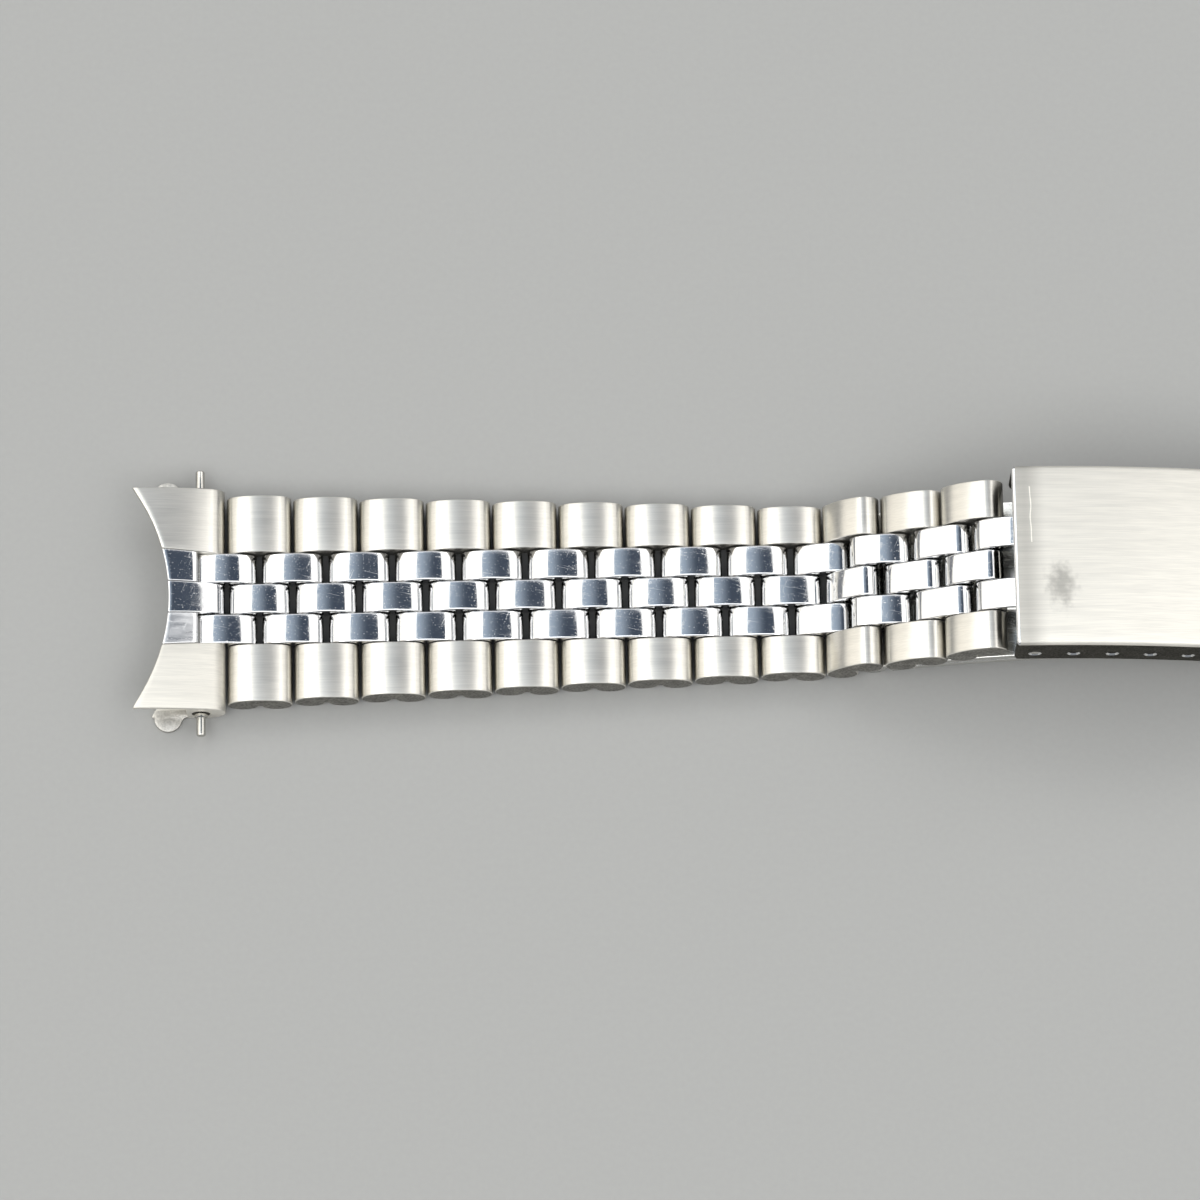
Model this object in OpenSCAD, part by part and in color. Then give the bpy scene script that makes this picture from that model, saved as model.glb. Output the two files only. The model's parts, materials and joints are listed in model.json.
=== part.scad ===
// Five-row link bracelet with a fold-over clasp, in millimetres, +Z up.
// X runs along the bracelet, from the long half to the short half, and Y runs across it.
// It lies as it is put down on a table, with the clasp closed and standing on its blades.
// The origin is on the table, under the middle of the whole bracelet.

/* [Links] */
// Distance from one link to the next in the same row
link_pitch = 5.8; // [5.7:0.05:6.1]
// Gap between the round ends of two outer links
outer_gap = 0.15; // [0.1:0.01:0.25]
// Gap between the round ends of two polished links
inner_gap = 0.4; // [0.25:0.01:0.5]
// Radius of the arc over the top of an outer link
outer_crown_r = 8.8; // [7:0.1:14]
// Radius of the arc over the top of a polished link
inner_crown_r = 7.1; // [6:0.1:12]
// How far under the pins the notch between the two lobes of a link stops
notch_drop = 0.3; // [0.1:0.05:0.6]
// Link bodies in the long half
long_links = 12; // [10:1:14]
// Link bodies in the short half
short_links = 7; // [4:1:9]

/* [Rows] */
// Distance between the three polished rows
row_pitch = 2.75; // [2.6:0.05:2.9]
// Gap between two rows
row_gap = 0.08; // [0.05:0.01:0.15]
// Width over the outer links next to an end piece
case_width = 18.6; // [17.5:0.1:19.5]
// Width over the outer links next to the clasp
clasp_width = 15.1; // [14.5:0.1:16]
// Link bodies over which the long half narrows
taper_links = 9; // [5:1:10]

/* [Pins] */
// Diameter of the link pins
pin_d = 1.0; // [0.8:0.05:1.1]
// Running clearance round a pin or a spring bar, on the radius
run_fit = 0.06; // [0.04:0.01:0.09]
// Clearance round a pin where it is pressed in, on the radius
seat_fit = 0.01; // [0.005:0.005:0.02]
// How deep a pin goes into an outer link
pin_depth = 1.8; // [1.2:0.1:2.2]

/* [End pieces] */
// Width between the lugs of the case
lug_width = 20; // [19.4:0.1:21]
// Distance from the spring bar to the tips at the case
end_reach = 5.8; // [5.6:0.1:6.6]
// How far the bend goes past the spring bar
end_overhang = 1.95; // [1.8:0.05:2.1]
// Height of an end piece at the case
end_height = 4.1; // [3.8:0.1:4.6]
// Radius of the arc along the top of an end piece
end_top_r = 25; // [20:1:32]
// Thickness of the formed sheet
sheet_t = 0.45; // [0.35:0.05:0.5]
// Radius of the side that lies against the case
case_r = 17; // [15.5:0.5:22]
// Distance between the spring bar and the first or the last link pin
end_span = 3.7; // [3.6:0.05:4.1]
// Width of an ear on the lower skin
ear_w = 2.4; // [1.6:0.1:3]
// How far an ear stands out
ear_out = 1.3; // [1.2:0.1:1.8]

/* [Spring bars] */
// Outer diameter of a spring bar's tube
tube_d = 1.5; // [1.4:0.05:1.6]
// Wall of the tube
tube_t = 0.2; // [0.15:0.01:0.22]
// Diameter of the tip that goes into a lug
tip_d = 0.8; // [0.7:0.05:0.85]
// Diameter of the flange behind a tip
flange_d = 1.15; // [1.1:0.05:1.3]
// Thickness of that flange
flange_t = 0.35; // [0.25:0.05:0.5]
// How far a lug tip stands out of the end piece, with its flange
tip_out = 2; // [1.8:0.1:2.6]
// Travel of a lug tip
tip_travel = 2.0; // [1.6:0.1:2.4]

/* [Clasp cover] */
// Length of the cover
cover_len = 33; // [31:0.5:35]
// Width of the cover
cover_w = 16; // [15.8:0.1:17]
// Height of the cover's side walls, with its top
cover_h = 4.8; // [4.6:0.1:5.3]
// Thickness of the cover's sheet
cover_t = 0.7; // [0.5:0.05:0.8]
// Radius of the arc along the top of the cover
cover_r = 78; // [72:1:90]
// Radius of the cover's long top edges
cover_edge_r = 0.4; // [0.2:0.05:0.6]
// Distance from the left end to the cover's highest point
cover_apex = 0.5; // [0:0.5:3]
// Distance from the left end to the first adjusting hole
hole_x = 1.7; // [1.5:0.1:1.8]
// Distance between the adjusting holes
hole_pitch = 3.35; // [3:0.05:3.8]
// Adjusting holes in a row
hole_count = 5; // [3:1:6]
// Depth of the adjusting holes under the top
hole_depth = 3.1; // [2.9:0.05:3.3]

/* [Clasp blades] */
// Radius of the arc along which the two blades lie
blade_r = 75; // [70:1:85]
// Thickness of a blade
blade_t = 0.8; // [0.6:0.05:0.85]
// Gap between the two folded blades
blade_gap = 0.1; // [0.08:0.01:0.2]
// Gap between the blades and the cover's side walls
side_gap = 0.3; // [0.2:0.05:0.5]
// How far the fold lies to the left of the cover
fold_out = 11.8; // [11.4:0.1:12.2]
// Outer radius of the fold's knuckles
fold_r = 1.2; // [1.1:0.05:1.3]
// Half the width of the middle knuckle at the fold
fold_split = 2.5; // [2:0.1:4]
// Outer radius of the knuckle at the cover's hinge
hinge_r = 1.15; // [1:0.05:1.2]
// Gap between that knuckle and the cover's top
hinge_gap = 0.15; // [0.1:0.01:0.2]
// Distance from the cover's hinge to its right end
hinge_edge = 1.7; // [1.5:0.1:2.2]

/* [Hidden] */
$fn = 96;
half_pitch = link_pitch / 2;
outer_end_r = (half_pitch - outer_gap) / 2;
inner_end_r = (half_pitch - inner_gap) / 2;
pin_r = pin_d / 2;
// Chain of the long half: angles of its bars, counted from the clasp, up to where it lies flat
ramp = [14, 29, 28, 26, 8, 44, 16];
long_bars = 2 * long_links + 1;
short_bars = 2 * short_links + 1;
row_w = row_pitch - row_gap;
outer_face = 1.5 * row_pitch + row_gap / 2;
long_step = (case_width - clasp_width) / (taper_links - 1);
short_step = (case_width - clasp_width) / (short_links - 1);
// Room that a piece is cut larger by, so that a cut goes right through
through = 1;

// The bar at an end piece is longer than the rest, and so is the one at the clasp's spring bar
function bar_length(i, count, long_first) =
    i == count - 1 || (i == 0 && long_first) ? end_span : half_pitch;
function bar_angle(i) = i < len(ramp) ? ramp[i] : 0;
function sum_to(i, f) = i < 0 ? 0 : f[i] + sum_to(i - 1, f);
function polar(centre, r, a) = centre + r * [sin(a), cos(a)];
// The lower of the two points at distance rp from p and rq from q
function meeting(p, rp, q, rq) =
    let (d = norm(q - p), u = (q - p) / d, along = (rp * rp - rq * rq + d * d) / (2 * d))
    p + along * u + sqrt(rp * rp - along * along) * [u.y, -u.x];

// Height of the clasp's spring bar, which the ramp of the chain gives
ramp_rise = sum_to(len(ramp) - 1, [for (i = [0:len(ramp) - 1])
    bar_length(i, long_bars, true) * sin(bar_angle(i))]);
long_start = [hole_x, outer_end_r + ramp_rise];
long_steps = [for (i = [0:long_bars - 1])
    -bar_length(i, long_bars, true) * [cos(bar_angle(i)), sin(bar_angle(i))]];
function long_point(i) = i == 0 ? long_start : long_point(i - 1) + long_steps[i - 1];

// The cover is an arc through the first adjusting hole
hole_r = cover_r - hole_depth;
first_hole_a = asin((hole_x - cover_apex) / hole_r);
cover_c = long_start - hole_r * [sin(first_hole_a), cos(first_hole_a)];
cover_a0 = asin(-cover_apex / cover_r);
cover_a1 = asin((cover_len - cover_apex) / cover_r);
inner_half = cover_w / 2 - cover_t;

// Clasp hinges: the fold at the left, the cover's hinge, and the pin that holds the short half
blade_half = inner_half - side_gap;
// A blade's knuckles stand back a little from its sides
knuckle_half = blade_half - 0.1;
fold_p = [-fold_out, fold_r];
hinge_depth = cover_t + hinge_gap + hinge_r;
hinge_a = cover_a1 - hinge_edge / cover_r * 180 / PI;
hinge_p = polar(cover_c, cover_r - hinge_depth, hinge_a);
// Gap round a knuckle that turns in a notch of the other blade
knuckle_room = 0.2;
// The hinge's knuckle comes down to the middle of the gap between the blades
blade_c = meeting(fold_p, blade_r, hinge_p, blade_r + hinge_r);
short_start = [blade_c.x + sqrt(pow(blade_r, 2) - pow(outer_end_r - blade_c.y, 2)), outer_end_r];
fold_a = atan2(fold_p.x - blade_c.x, fold_p.y - blade_c.y);
upper_a = atan2(hinge_p.x - blade_c.x, hinge_p.y - blade_c.y);
lower_a = atan2(short_start.x - blade_c.x, short_start.y - blade_c.y);
function short_point(i) = i == 0 ? short_start
    : short_point(i - 1) + [bar_length(i - 1, short_bars, false), 0];

// The whole bracelet is centred on the origin
long_end_p = long_point(long_bars);
short_end_p = short_point(short_bars);
shift_x = -(long_end_p.x - end_reach + short_end_p.x + end_reach) / 2;

// End piece: the bend is a circle that touches the lower skin and the top arc
end_l = end_reach + end_overhang;
bend_b = 2 * end_top_r - end_height - end_l;
bend_r = -bend_b + sqrt(pow(bend_b, 2) - (pow(end_l, 2) - 2 * end_top_r * end_height + pow(end_height, 2)));
bend_p = [end_overhang - bend_r, bend_r];
end_arc_c = [-end_reach, end_height - end_top_r];
// Width of the flat that is left on each tip beside the case
tip_flat = 0.2;
case_sag = case_r - sqrt(pow(case_r, 2) - pow(lug_width / 2 - tip_flat, 2));
// How far the solid knuckle reaches behind the spring bar
knuckle_back = tube_d / 2 + run_fit + sheet_t;
// The top skin over a polished bead ends this far before the spring bar
skin_edge = 0.18;
bead_room = 0.2;
// Width and depth of a groove, and how many degrees a groove one row pitch out flares
groove = 0.14;
groove_flare = 2.5;

// Spring bars: a tip's head runs in the tube, and its neck passes the crimped end
tube_r = tube_d / 2;
head_r = tube_r - tube_t - run_fit;
neck_step = 0.25;
neck_r = head_r - neck_step;
crimp_t = 0.3;
head_l = 1.3;
clasp_wall_fit = 0.05;
// The clasp's tips are thinner than the lug tips, and leave their holes by this much when pushed in
clasp_tip_step = 0.06;
clasp_tip_d = tip_d - clasp_tip_step;
clasp_clear = 0.1;
clasp_travel = cover_t + clasp_wall_fit + clasp_clear;

// Snap bumps inside the cover's walls, this far along it, that hold the blades when it is closed
snap_r = 0.5;
snap_lip = 0.45;
snap_along = 0.6;
snap_out = 2 * side_gap / 3;
snap_p = polar(cover_c, cover_r - cover_h + snap_r + snap_lip, cover_a1 * snap_along);

LONG_LINKS = [for (i = [1:long_links]) str("long_link_", i < 10 ? "0" : "", i)];
LONG_BEADS = [for (i = [0:long_links]) str("long_bead_pair_", i < 10 ? "0" : "", i)];
SHORT_LINKS = [for (i = [1:short_links]) str("short_link_0", i)];
SHORT_BEADS = [for (i = [0:short_links]) str("short_bead_pair_0", i)];

// A flat outline drawn in X and Z, made solid from y0 to y1
module across(y0, y1) {
    translate([0, y1, 0]) rotate([90, 0, 0]) linear_extrude(y1 - y0) children();
}

// A round bar along Y at the point p of the XZ plane
module crossbar(p, r, y0, y1) {
    translate([p.x, y1, p.y]) rotate([90, 0, 0]) cylinder(r = r, h = y1 - y0);
}

// A round bar along Y at the point p, from y0 to y1, and again on the other side
module knuckle_pair(p, r, y0, y1) {
    for (side = [-1, 1]) crossbar(p, r, side > 0 ? y0 : -y1, side > 0 ? y1 : -y0);
}

// A section with its radius along X, swept about the point c from angle a0 to a1 off the vertical
module swept(c, a0, a1) {
    translate([c.x, 0, c.y]) rotate([90, 0, 0]) rotate([0, 0, 90 - a1])
        rotate_extrude(angle = a1 - a0) children();
}

// Puts a bar's shape, drawn about its middle, between the chain points p and q
module between(p, q) {
    right = p.x > q.x ? p : q;
    left = p.x > q.x ? q : p;
    translate([(p.x + q.x) / 2, 0, (p.y + q.y) / 2])
        rotate([0, -atan2(right.y - left.y, right.x - left.x), 0]) children();
}

// Side outline of a link: a round end about each pin, a crowned top and a notch underneath
module link_side(span, end_r, crown_r) {
    crown_z = -sqrt(pow(crown_r - end_r, 2) - pow(span / 2, 2));
    touch_x = crown_r * span / 2 / (crown_r - end_r);
    for (side = [-1, 1]) translate([side * span / 2, 0]) circle(end_r);
    intersection() {
        translate([0, crown_z]) circle(crown_r);
        translate([-touch_x, -notch_drop]) square([2 * touch_x, crown_r]);
    }
}

// Link body: two outer links and a middle link, held together by two pins
module link_body(half_w) {
    pin_end = outer_face + pin_depth;
    color("gainsboro") for (side = [-1, 1]) difference() {
        across(side > 0 ? outer_face : -half_w, side > 0 ? half_w : -outer_face)
            link_side(half_pitch, outer_end_r, outer_crown_r);
        for (end = [-1, 1]) crossbar([end * half_pitch / 2, 0], pin_r + seat_fit,
            -pin_end - seat_fit, pin_end + seat_fit);
    }
    color("whitesmoke") difference() {
        across(-row_w / 2, row_w / 2) link_side(half_pitch, inner_end_r, inner_crown_r);
        for (end = [-1, 1]) crossbar([end * half_pitch / 2, 0], pin_r + seat_fit, -row_w, row_w);
    }
    color("silver") for (end = [-1, 1]) crossbar([end * half_pitch / 2, 0], pin_r, -pin_end, pin_end);
}

// Pair of polished beads on two pins, or on a pin and a spring bar
module bead_pair(span, left_bore_r, right_bore_r) {
    color("whitesmoke") for (side = [-1, 1]) difference() {
        across(side * row_pitch - row_w / 2, side * row_pitch + row_w / 2)
            link_side(span, inner_end_r, inner_crown_r);
        crossbar([-span / 2, 0], left_bore_r, -2 * row_pitch, 2 * row_pitch);
        crossbar([span / 2, 0], right_bore_r, -2 * row_pitch, 2 * row_pitch);
    }
}

function long_half_w(k) = max(clasp_width, case_width - (k - 1) * long_step) / 2;
function short_half_w(k) = (case_width - (k - 1) * short_step) / 2;
pin_bore_r = pin_r + run_fit;
tube_bore_r = tube_r + run_fit;

module long_link(k) {
    i = 2 * (long_links - k) + 1;
    between(long_point(i), long_point(i + 1)) link_body(long_half_w(k));
}

module long_beads(k) {
    i = 2 * (long_links - k);
    between(long_point(i), long_point(i + 1))
        bead_pair(bar_length(i, long_bars, true), k == 0 ? tube_bore_r : pin_bore_r,
            k == long_links ? tube_bore_r : pin_bore_r);
}

module short_link(k) {
    i = 2 * (short_links - k) + 1;
    between(short_point(i), short_point(i + 1)) link_body(short_half_w(k));
}

module short_beads(k) {
    i = 2 * (short_links - k);
    between(short_point(i), short_point(i + 1))
        bead_pair(bar_length(i, short_bars, false), pin_bore_r, k == 0 ? tube_bore_r : pin_bore_r);
}

// Side outline of an end piece, drawn smaller by an inset, with the spring bar over x = 0
module end_outline(inset) {
    to_bend = (bend_p - end_arc_c) / norm(bend_p - end_arc_c);
    touch = bend_p + bend_r * to_bend;
    reach = end_reach + through;
    translate(bend_p) circle(bend_r - inset);
    intersection() {
        translate(end_arc_c) circle(end_top_r - inset);
        union() {
            translate([-reach, inset]) square([reach + bend_p.x, end_height]);
            translate([-reach, bend_r]) square([reach + touch.x, end_height]);
        }
    }
}

// Formed sheet with its knuckles, before the rows are cut
module end_section() {
    difference() {
        union() {
            difference() {
                end_outline(0);
                end_outline(sheet_t);
            }
            intersection() {
                end_outline(sheet_t / 2);
                translate([-knuckle_back, 0]) square([knuckle_back + end_l, end_height]);
            }
        }
        translate([0, outer_end_r]) circle(tube_bore_r);
    }
}

// Room for the first bead pair in rows 2 and 4: under the top skin, and past its edge
module bead_notch() {
    room = inner_end_r + bead_room;
    translate([-room, -through]) square([room + end_l, through + outer_end_r]);
    intersection() {
        end_outline(sheet_t);
        translate([-room, 0]) square([room + end_l, end_height]);
    }
    translate([-skin_edge, -through]) square([end_l, end_height + 2 * through]);
}

// Rounded ear of the lower skin
module end_ear(side) {
    ear_y = lug_width / 2 + ear_out - ear_w / 2;
    translate([-end_reach / 2, side * ear_y]) circle(ear_w / 2);
    translate([-end_reach / 2 - ear_w / 2, side > 0 ? lug_width / 2 - through : -ear_y])
        square([ear_w, ear_y - lug_width / 2 + through]);
}

// Groove in the top skin over the line between two rows
module row_groove() {
    difference() {
        end_outline(-through);
        end_outline(groove);
        translate([-end_l, -through]) square([2 * end_l, through + bend_r]);
    }
}

module end_piece() {
    cut_h = end_height + 2 * through;
    color("gainsboro") difference() {
        union() {
            across(-lug_width / 2, lug_width / 2) end_section();
            for (side = [-1, 1]) linear_extrude(sheet_t) end_ear(side);
        }
        translate([-end_reach + case_sag - case_r, 0, -through]) cylinder(r = case_r, h = cut_h);
        translate([-end_l - end_reach, -lug_width, -through]) cube([end_l, 2 * lug_width, cut_h]);
        for (side = [-1, 1])
            across((side - 0.5) * row_pitch, (side + 0.5) * row_pitch) bead_notch();
        for (side = [-1, 1]) for (edge = [0.5, 1.5])
            rotate([0, 0, -side * groove_flare * edge])
                across(side * edge * row_pitch - groove / 2, side * edge * row_pitch + groove / 2)
                    row_groove();
    }
}

// Spring bar: a tube with crimped ends, a coil spring and two sliding tips with a flange
module bar_tube(half) {
    color("silver") difference() {
        crossbar([0, 0], tube_r, -half, half);
        crossbar([0, 0], tube_r - tube_t, -half + crimp_t, half - crimp_t);
        crossbar([0, 0], neck_r + run_fit, -half - through, half + through);
    }
}

// The spring is drawn at its pressed length, which leaves the tips their travel
module bar_spring(half) {
    color("dimgray") difference() {
        crossbar([0, 0], head_r, -half, half);
        crossbar([0, 0], head_r / 2, -half - through, half + through);
    }
}

// A tip that slides in a tube reaching to half, with its flange at flange_y and its end at end_y
module bar_tip(half, flange_y, end_y, tip_r) {
    head_y = half - crimp_t - run_fit;
    color("silver") {
        crossbar([0, 0], head_r, head_y - head_l, head_y);
        crossbar([0, 0], neck_r, head_y - seat_fit, flange_y + seat_fit);
        crossbar([0, 0], flange_d / 2, flange_y, flange_y + flange_t);
        crossbar([0, 0], tip_r, flange_y + flange_t - seat_fit, end_y);
    }
}

lug_flange_y = lug_width / 2;
lug_tube_half = lug_flange_y - tip_travel - run_fit;
lug_spring_half = lug_tube_half - crimp_t - head_l - tip_travel - 2 * run_fit;
clasp_flange_y = inner_half - clasp_wall_fit - flange_t;
clasp_tube_half = clasp_flange_y - clasp_travel - run_fit;
clasp_spring_half = clasp_tube_half - crimp_t - head_l - clasp_travel - 2 * run_fit;

module at(p) {
    translate([p.x, 0, p.y]) children();
}

module lug_tip(p, side) {
    at(p) mirror([0, side < 0 ? 1 : 0, 0])
        bar_tip(lug_tube_half, lug_flange_y, lug_width / 2 + tip_out, tip_d / 2);
}

module clasp_tip(side) {
    at(long_start) mirror([0, side < 0 ? 1 : 0, 0])
        bar_tip(clasp_tube_half, clasp_flange_y, cover_w / 2, clasp_tip_d / 2);
}

// Section of the cover: a channel with rounded long edges
module cover_section() {
    half = cover_w / 2;
    difference() {
        union() {
            translate([cover_r - cover_h, -half]) square([cover_h - cover_edge_r, cover_w]);
            translate([cover_r - cover_h, -half + cover_edge_r])
                square([cover_h, cover_w - 2 * cover_edge_r]);
            for (side = [-1, 1])
                translate([cover_r - cover_edge_r, side * (half - cover_edge_r)]) circle(cover_edge_r);
        }
        translate([cover_r - cover_h - through, -inner_half])
            square([cover_h - cover_t + through, 2 * inner_half]);
    }
}

module clasp_cover() {
    color("gainsboro") difference() {
        union() {
            swept(cover_c, cover_a0, cover_a1) cover_section();
            knuckle_pair(snap_p, snap_r, inner_half - snap_out, inner_half + cover_t / 2);
        }
        for (i = [0:hole_count - 1])
            crossbar(polar(cover_c, hole_r, first_hole_a + i * hole_pitch / hole_r * 180 / PI),
                clasp_tip_d / 2 + run_fit, -cover_w, cover_w);
        crossbar(hinge_p, pin_r + seat_fit, -cover_w, cover_w);
    }
}

// A blade's curved strip, from the fold to the angle a1
module blade_strip(r0, a1) {
    swept(blade_c, fold_a, a1) translate([r0, -blade_half]) square([blade_t, 2 * blade_half]);
}

module upper_blade() {
    color("lightsteelblue") difference() {
        union() {
            difference() {
                blade_strip(blade_r + blade_gap / 2, upper_a);
                crossbar(fold_p, fold_r + knuckle_room, -fold_split - row_gap, fold_split + row_gap);
            }
            knuckle_pair(fold_p, fold_r, fold_split + row_gap, knuckle_half);
            crossbar(hinge_p, hinge_r, -knuckle_half, knuckle_half);
        }
        crossbar(fold_p, pin_r + run_fit, -cover_w, cover_w);
        crossbar(hinge_p, pin_r + run_fit, -cover_w, cover_w);
    }
}

module lower_blade() {
    color("lightslategray") difference() {
        union() {
            difference() {
                blade_strip(blade_r - blade_gap / 2 - blade_t, lower_a);
                knuckle_pair(fold_p, fold_r + knuckle_room, fold_split, cover_w);
                knuckle_pair(short_start, inner_end_r + knuckle_room, row_pitch / 2, 1.5 * row_pitch);
            }
            crossbar(fold_p, fold_r, -fold_split, fold_split);
            crossbar(short_start, inner_end_r, -row_w / 2, row_w / 2);
            knuckle_pair(short_start, inner_end_r, outer_face, knuckle_half);
        }
        crossbar(fold_p, pin_r + seat_fit, -cover_w, cover_w);
        crossbar(short_start, pin_r + seat_fit, -cover_w, cover_w);
    }
}

module hinge_pin(p, half) {
    color("silver") crossbar(p, pin_r, -half, half);
}

// The whole bracelet, one sub-part to each line, moved so that its middle is over the origin
translate([shift_x, 0, 0]) {
    clasp_cover();
    upper_blade();
    lower_blade();
    hinge_pin(hinge_p, cover_w / 2);  // cover_hinge_pin
    hinge_pin(fold_p, blade_half);  // fold_hinge_pin
    hinge_pin(short_start, blade_half);  // attaching_pin
    at(long_start) bar_tube(clasp_tube_half);  // clasp_bar_tube
    at(long_start) bar_spring(clasp_spring_half);  // clasp_bar_spring
    clasp_tip(-1);  // clasp_bar_tip_near
    clasp_tip(1);  // clasp_bar_tip_far
    translate([long_end_p.x, 0, 0]) end_piece();  // long_end_piece
    at(long_end_p) bar_tube(lug_tube_half);  // long_bar_tube
    at(long_end_p) bar_spring(lug_spring_half);  // long_bar_spring
    lug_tip(long_end_p, -1);  // long_bar_tip_near
    lug_tip(long_end_p, 1);  // long_bar_tip_far
    translate([short_end_p.x, 0, 0]) mirror([1, 0, 0]) end_piece();  // short_end_piece
    at(short_end_p) bar_tube(lug_tube_half);  // short_bar_tube
    at(short_end_p) bar_spring(lug_spring_half);  // short_bar_spring
    lug_tip(short_end_p, -1);  // short_bar_tip_near
    lug_tip(short_end_p, 1);  // short_bar_tip_far
    for (k = [1:long_links]) long_link(k);
    for (k = [0:long_links]) long_beads(k);
    for (k = [1:short_links]) short_link(k);
    for (k = [0:short_links]) short_beads(k);
}
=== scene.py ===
"""Five-row link bracelet with a fold-over clasp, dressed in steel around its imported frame."""

import json
import math
import random

import bmesh
import bpy
from bpy.props import FloatProperty, FloatVectorProperty, IntProperty, PointerProperty
from mathutils import Euler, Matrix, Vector


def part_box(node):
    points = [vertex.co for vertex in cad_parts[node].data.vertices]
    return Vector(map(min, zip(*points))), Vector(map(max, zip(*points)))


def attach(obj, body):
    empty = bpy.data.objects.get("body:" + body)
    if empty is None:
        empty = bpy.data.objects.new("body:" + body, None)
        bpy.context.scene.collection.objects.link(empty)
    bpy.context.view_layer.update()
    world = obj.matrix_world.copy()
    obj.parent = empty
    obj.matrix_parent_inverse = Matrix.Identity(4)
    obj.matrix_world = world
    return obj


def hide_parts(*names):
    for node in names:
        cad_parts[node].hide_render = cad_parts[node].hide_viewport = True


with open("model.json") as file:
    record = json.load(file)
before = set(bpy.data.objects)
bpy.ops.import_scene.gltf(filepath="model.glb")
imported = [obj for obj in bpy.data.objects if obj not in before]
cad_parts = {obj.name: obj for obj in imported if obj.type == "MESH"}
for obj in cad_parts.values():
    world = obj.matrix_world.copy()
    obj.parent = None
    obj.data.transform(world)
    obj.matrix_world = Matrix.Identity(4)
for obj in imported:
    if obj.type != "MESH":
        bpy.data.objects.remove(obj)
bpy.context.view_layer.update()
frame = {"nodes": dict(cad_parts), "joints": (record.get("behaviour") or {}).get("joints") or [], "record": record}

bl_info = {
    "name": "Five-Row Link Bracelet",
    "version": (1, 0, 0),
    "blender": (4, 5, 0),
    "location": "View3D > Sidebar > Bracelet",
    "description": "Builds a steel link bracelet, its clasp and a plain studio around a packed frame",
    "category": "Add Mesh",
}

MM = 0.001
JOINTS = {joint["name"]: joint for joint in frame["joints"]}
BODY_OF = {node: body for body, nodes in frame["record"]["behaviour"]["bodies"].items() for node in nodes}
HALVES = ("long", "short")
BARS = ("long", "short", "clasp")


def linear(code):
    """An sRGB hex colour as the linear values that Blender works in."""
    parts = [int(code[i:i + 2], 16) / 255 for i in (1, 3, 5)]
    return tuple(c / 12.92 if c <= 0.04045 else ((c + 0.055) / 1.055) ** 2.4 for c in parts)


def length(name, text, mm, least=0.0):
    """A setting for a length in mm."""
    return FloatProperty(name=name, description=text, default=mm * MM, min=least * MM, unit="LENGTH",
                         precision=5)


def angle(name, text, degrees):
    """A setting for an angle in degrees."""
    return FloatProperty(name=name, description=text, default=math.radians(degrees), unit="ROTATION")


def number(name, text, value):
    """A setting without a unit."""
    return FloatProperty(name=name, description=text, default=value)


def share(name, text, value):
    """A setting for a share of a whole, from 0 to 1."""
    return FloatProperty(name=name, description=text, default=value, min=0.0, max=1.0, subtype="FACTOR")


def colour(name, text, code):
    """A setting for an sRGB hex colour."""
    return FloatVectorProperty(name=name, description=text, default=linear(code), min=0.0, max=1.0,
                               size=3, subtype="COLOR")


# Frame points: a point here is (x, z) in the plane that the hinges turn in

def hinge(name):
    """Where a hinge joint's pin runs."""
    x, _, z = JOINTS[name]["pos_m"]
    return Vector((x, z))


def pivot(body):
    """Where the pin runs that joins a link, bead pair or end piece to the next one."""
    return hinge(f"{body}_pivot")


def first_bar():
    """Where the clasp's spring bar runs, in the first adjusting hole."""
    return pivot(chain("long")[0][0])


def link_pitch():
    """Distance between the two pins of a link."""
    return (pivot("long_link_01") - pivot("long_bead_pair_00")).length


def chain(half):
    """The links and bead pairs of one half, each with the two pivots that it spans, left one first."""
    links = sum(node.startswith(f"{half}_link_") for node in frame["nodes"])
    order = [f"{half}_bead_pair_{links:02d}"]
    for k in range(links, 0, -1):
        order += [f"{half}_link_{k:02d}", f"{half}_bead_pair_{k - 1:02d}"]
    points = [pivot(name) for name in order] + [pivot(f"{half}_end")]
    return [(name, *sorted(points[i:i + 2], key=lambda p: p.x)) for i, name in enumerate(order)]


def meeting(p, rp, q, rq):
    """The lower of the two points at distance rp from p and rq from q."""
    d = (q - p).length
    u = (q - p) / d
    along = (rp * rp - rq * rq + d * d) / (2 * d)
    return p + along * u + math.sqrt(rp * rp - along * along) * Vector((u.y, -u.x))


def polar(centre, r, a):
    """A point at the angle a to the right of straight up."""
    return centre + r * Vector((math.sin(a), math.cos(a)))


def angle_of(centre, p):
    """The angle at which polar puts p."""
    return math.atan2(p.x - centre.x, p.y - centre.y)


def span(a, b, count):
    """So many numbers, evenly from a to b."""
    return [a + (b - a) * i / (count - 1) for i in range(count)]


# Meshes

# In degrees: edges sharper than SHARP stay crisp, and those past BROKEN are rounded where a piece is bevelled
SHARP, BROKEN = 35, 40


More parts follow.
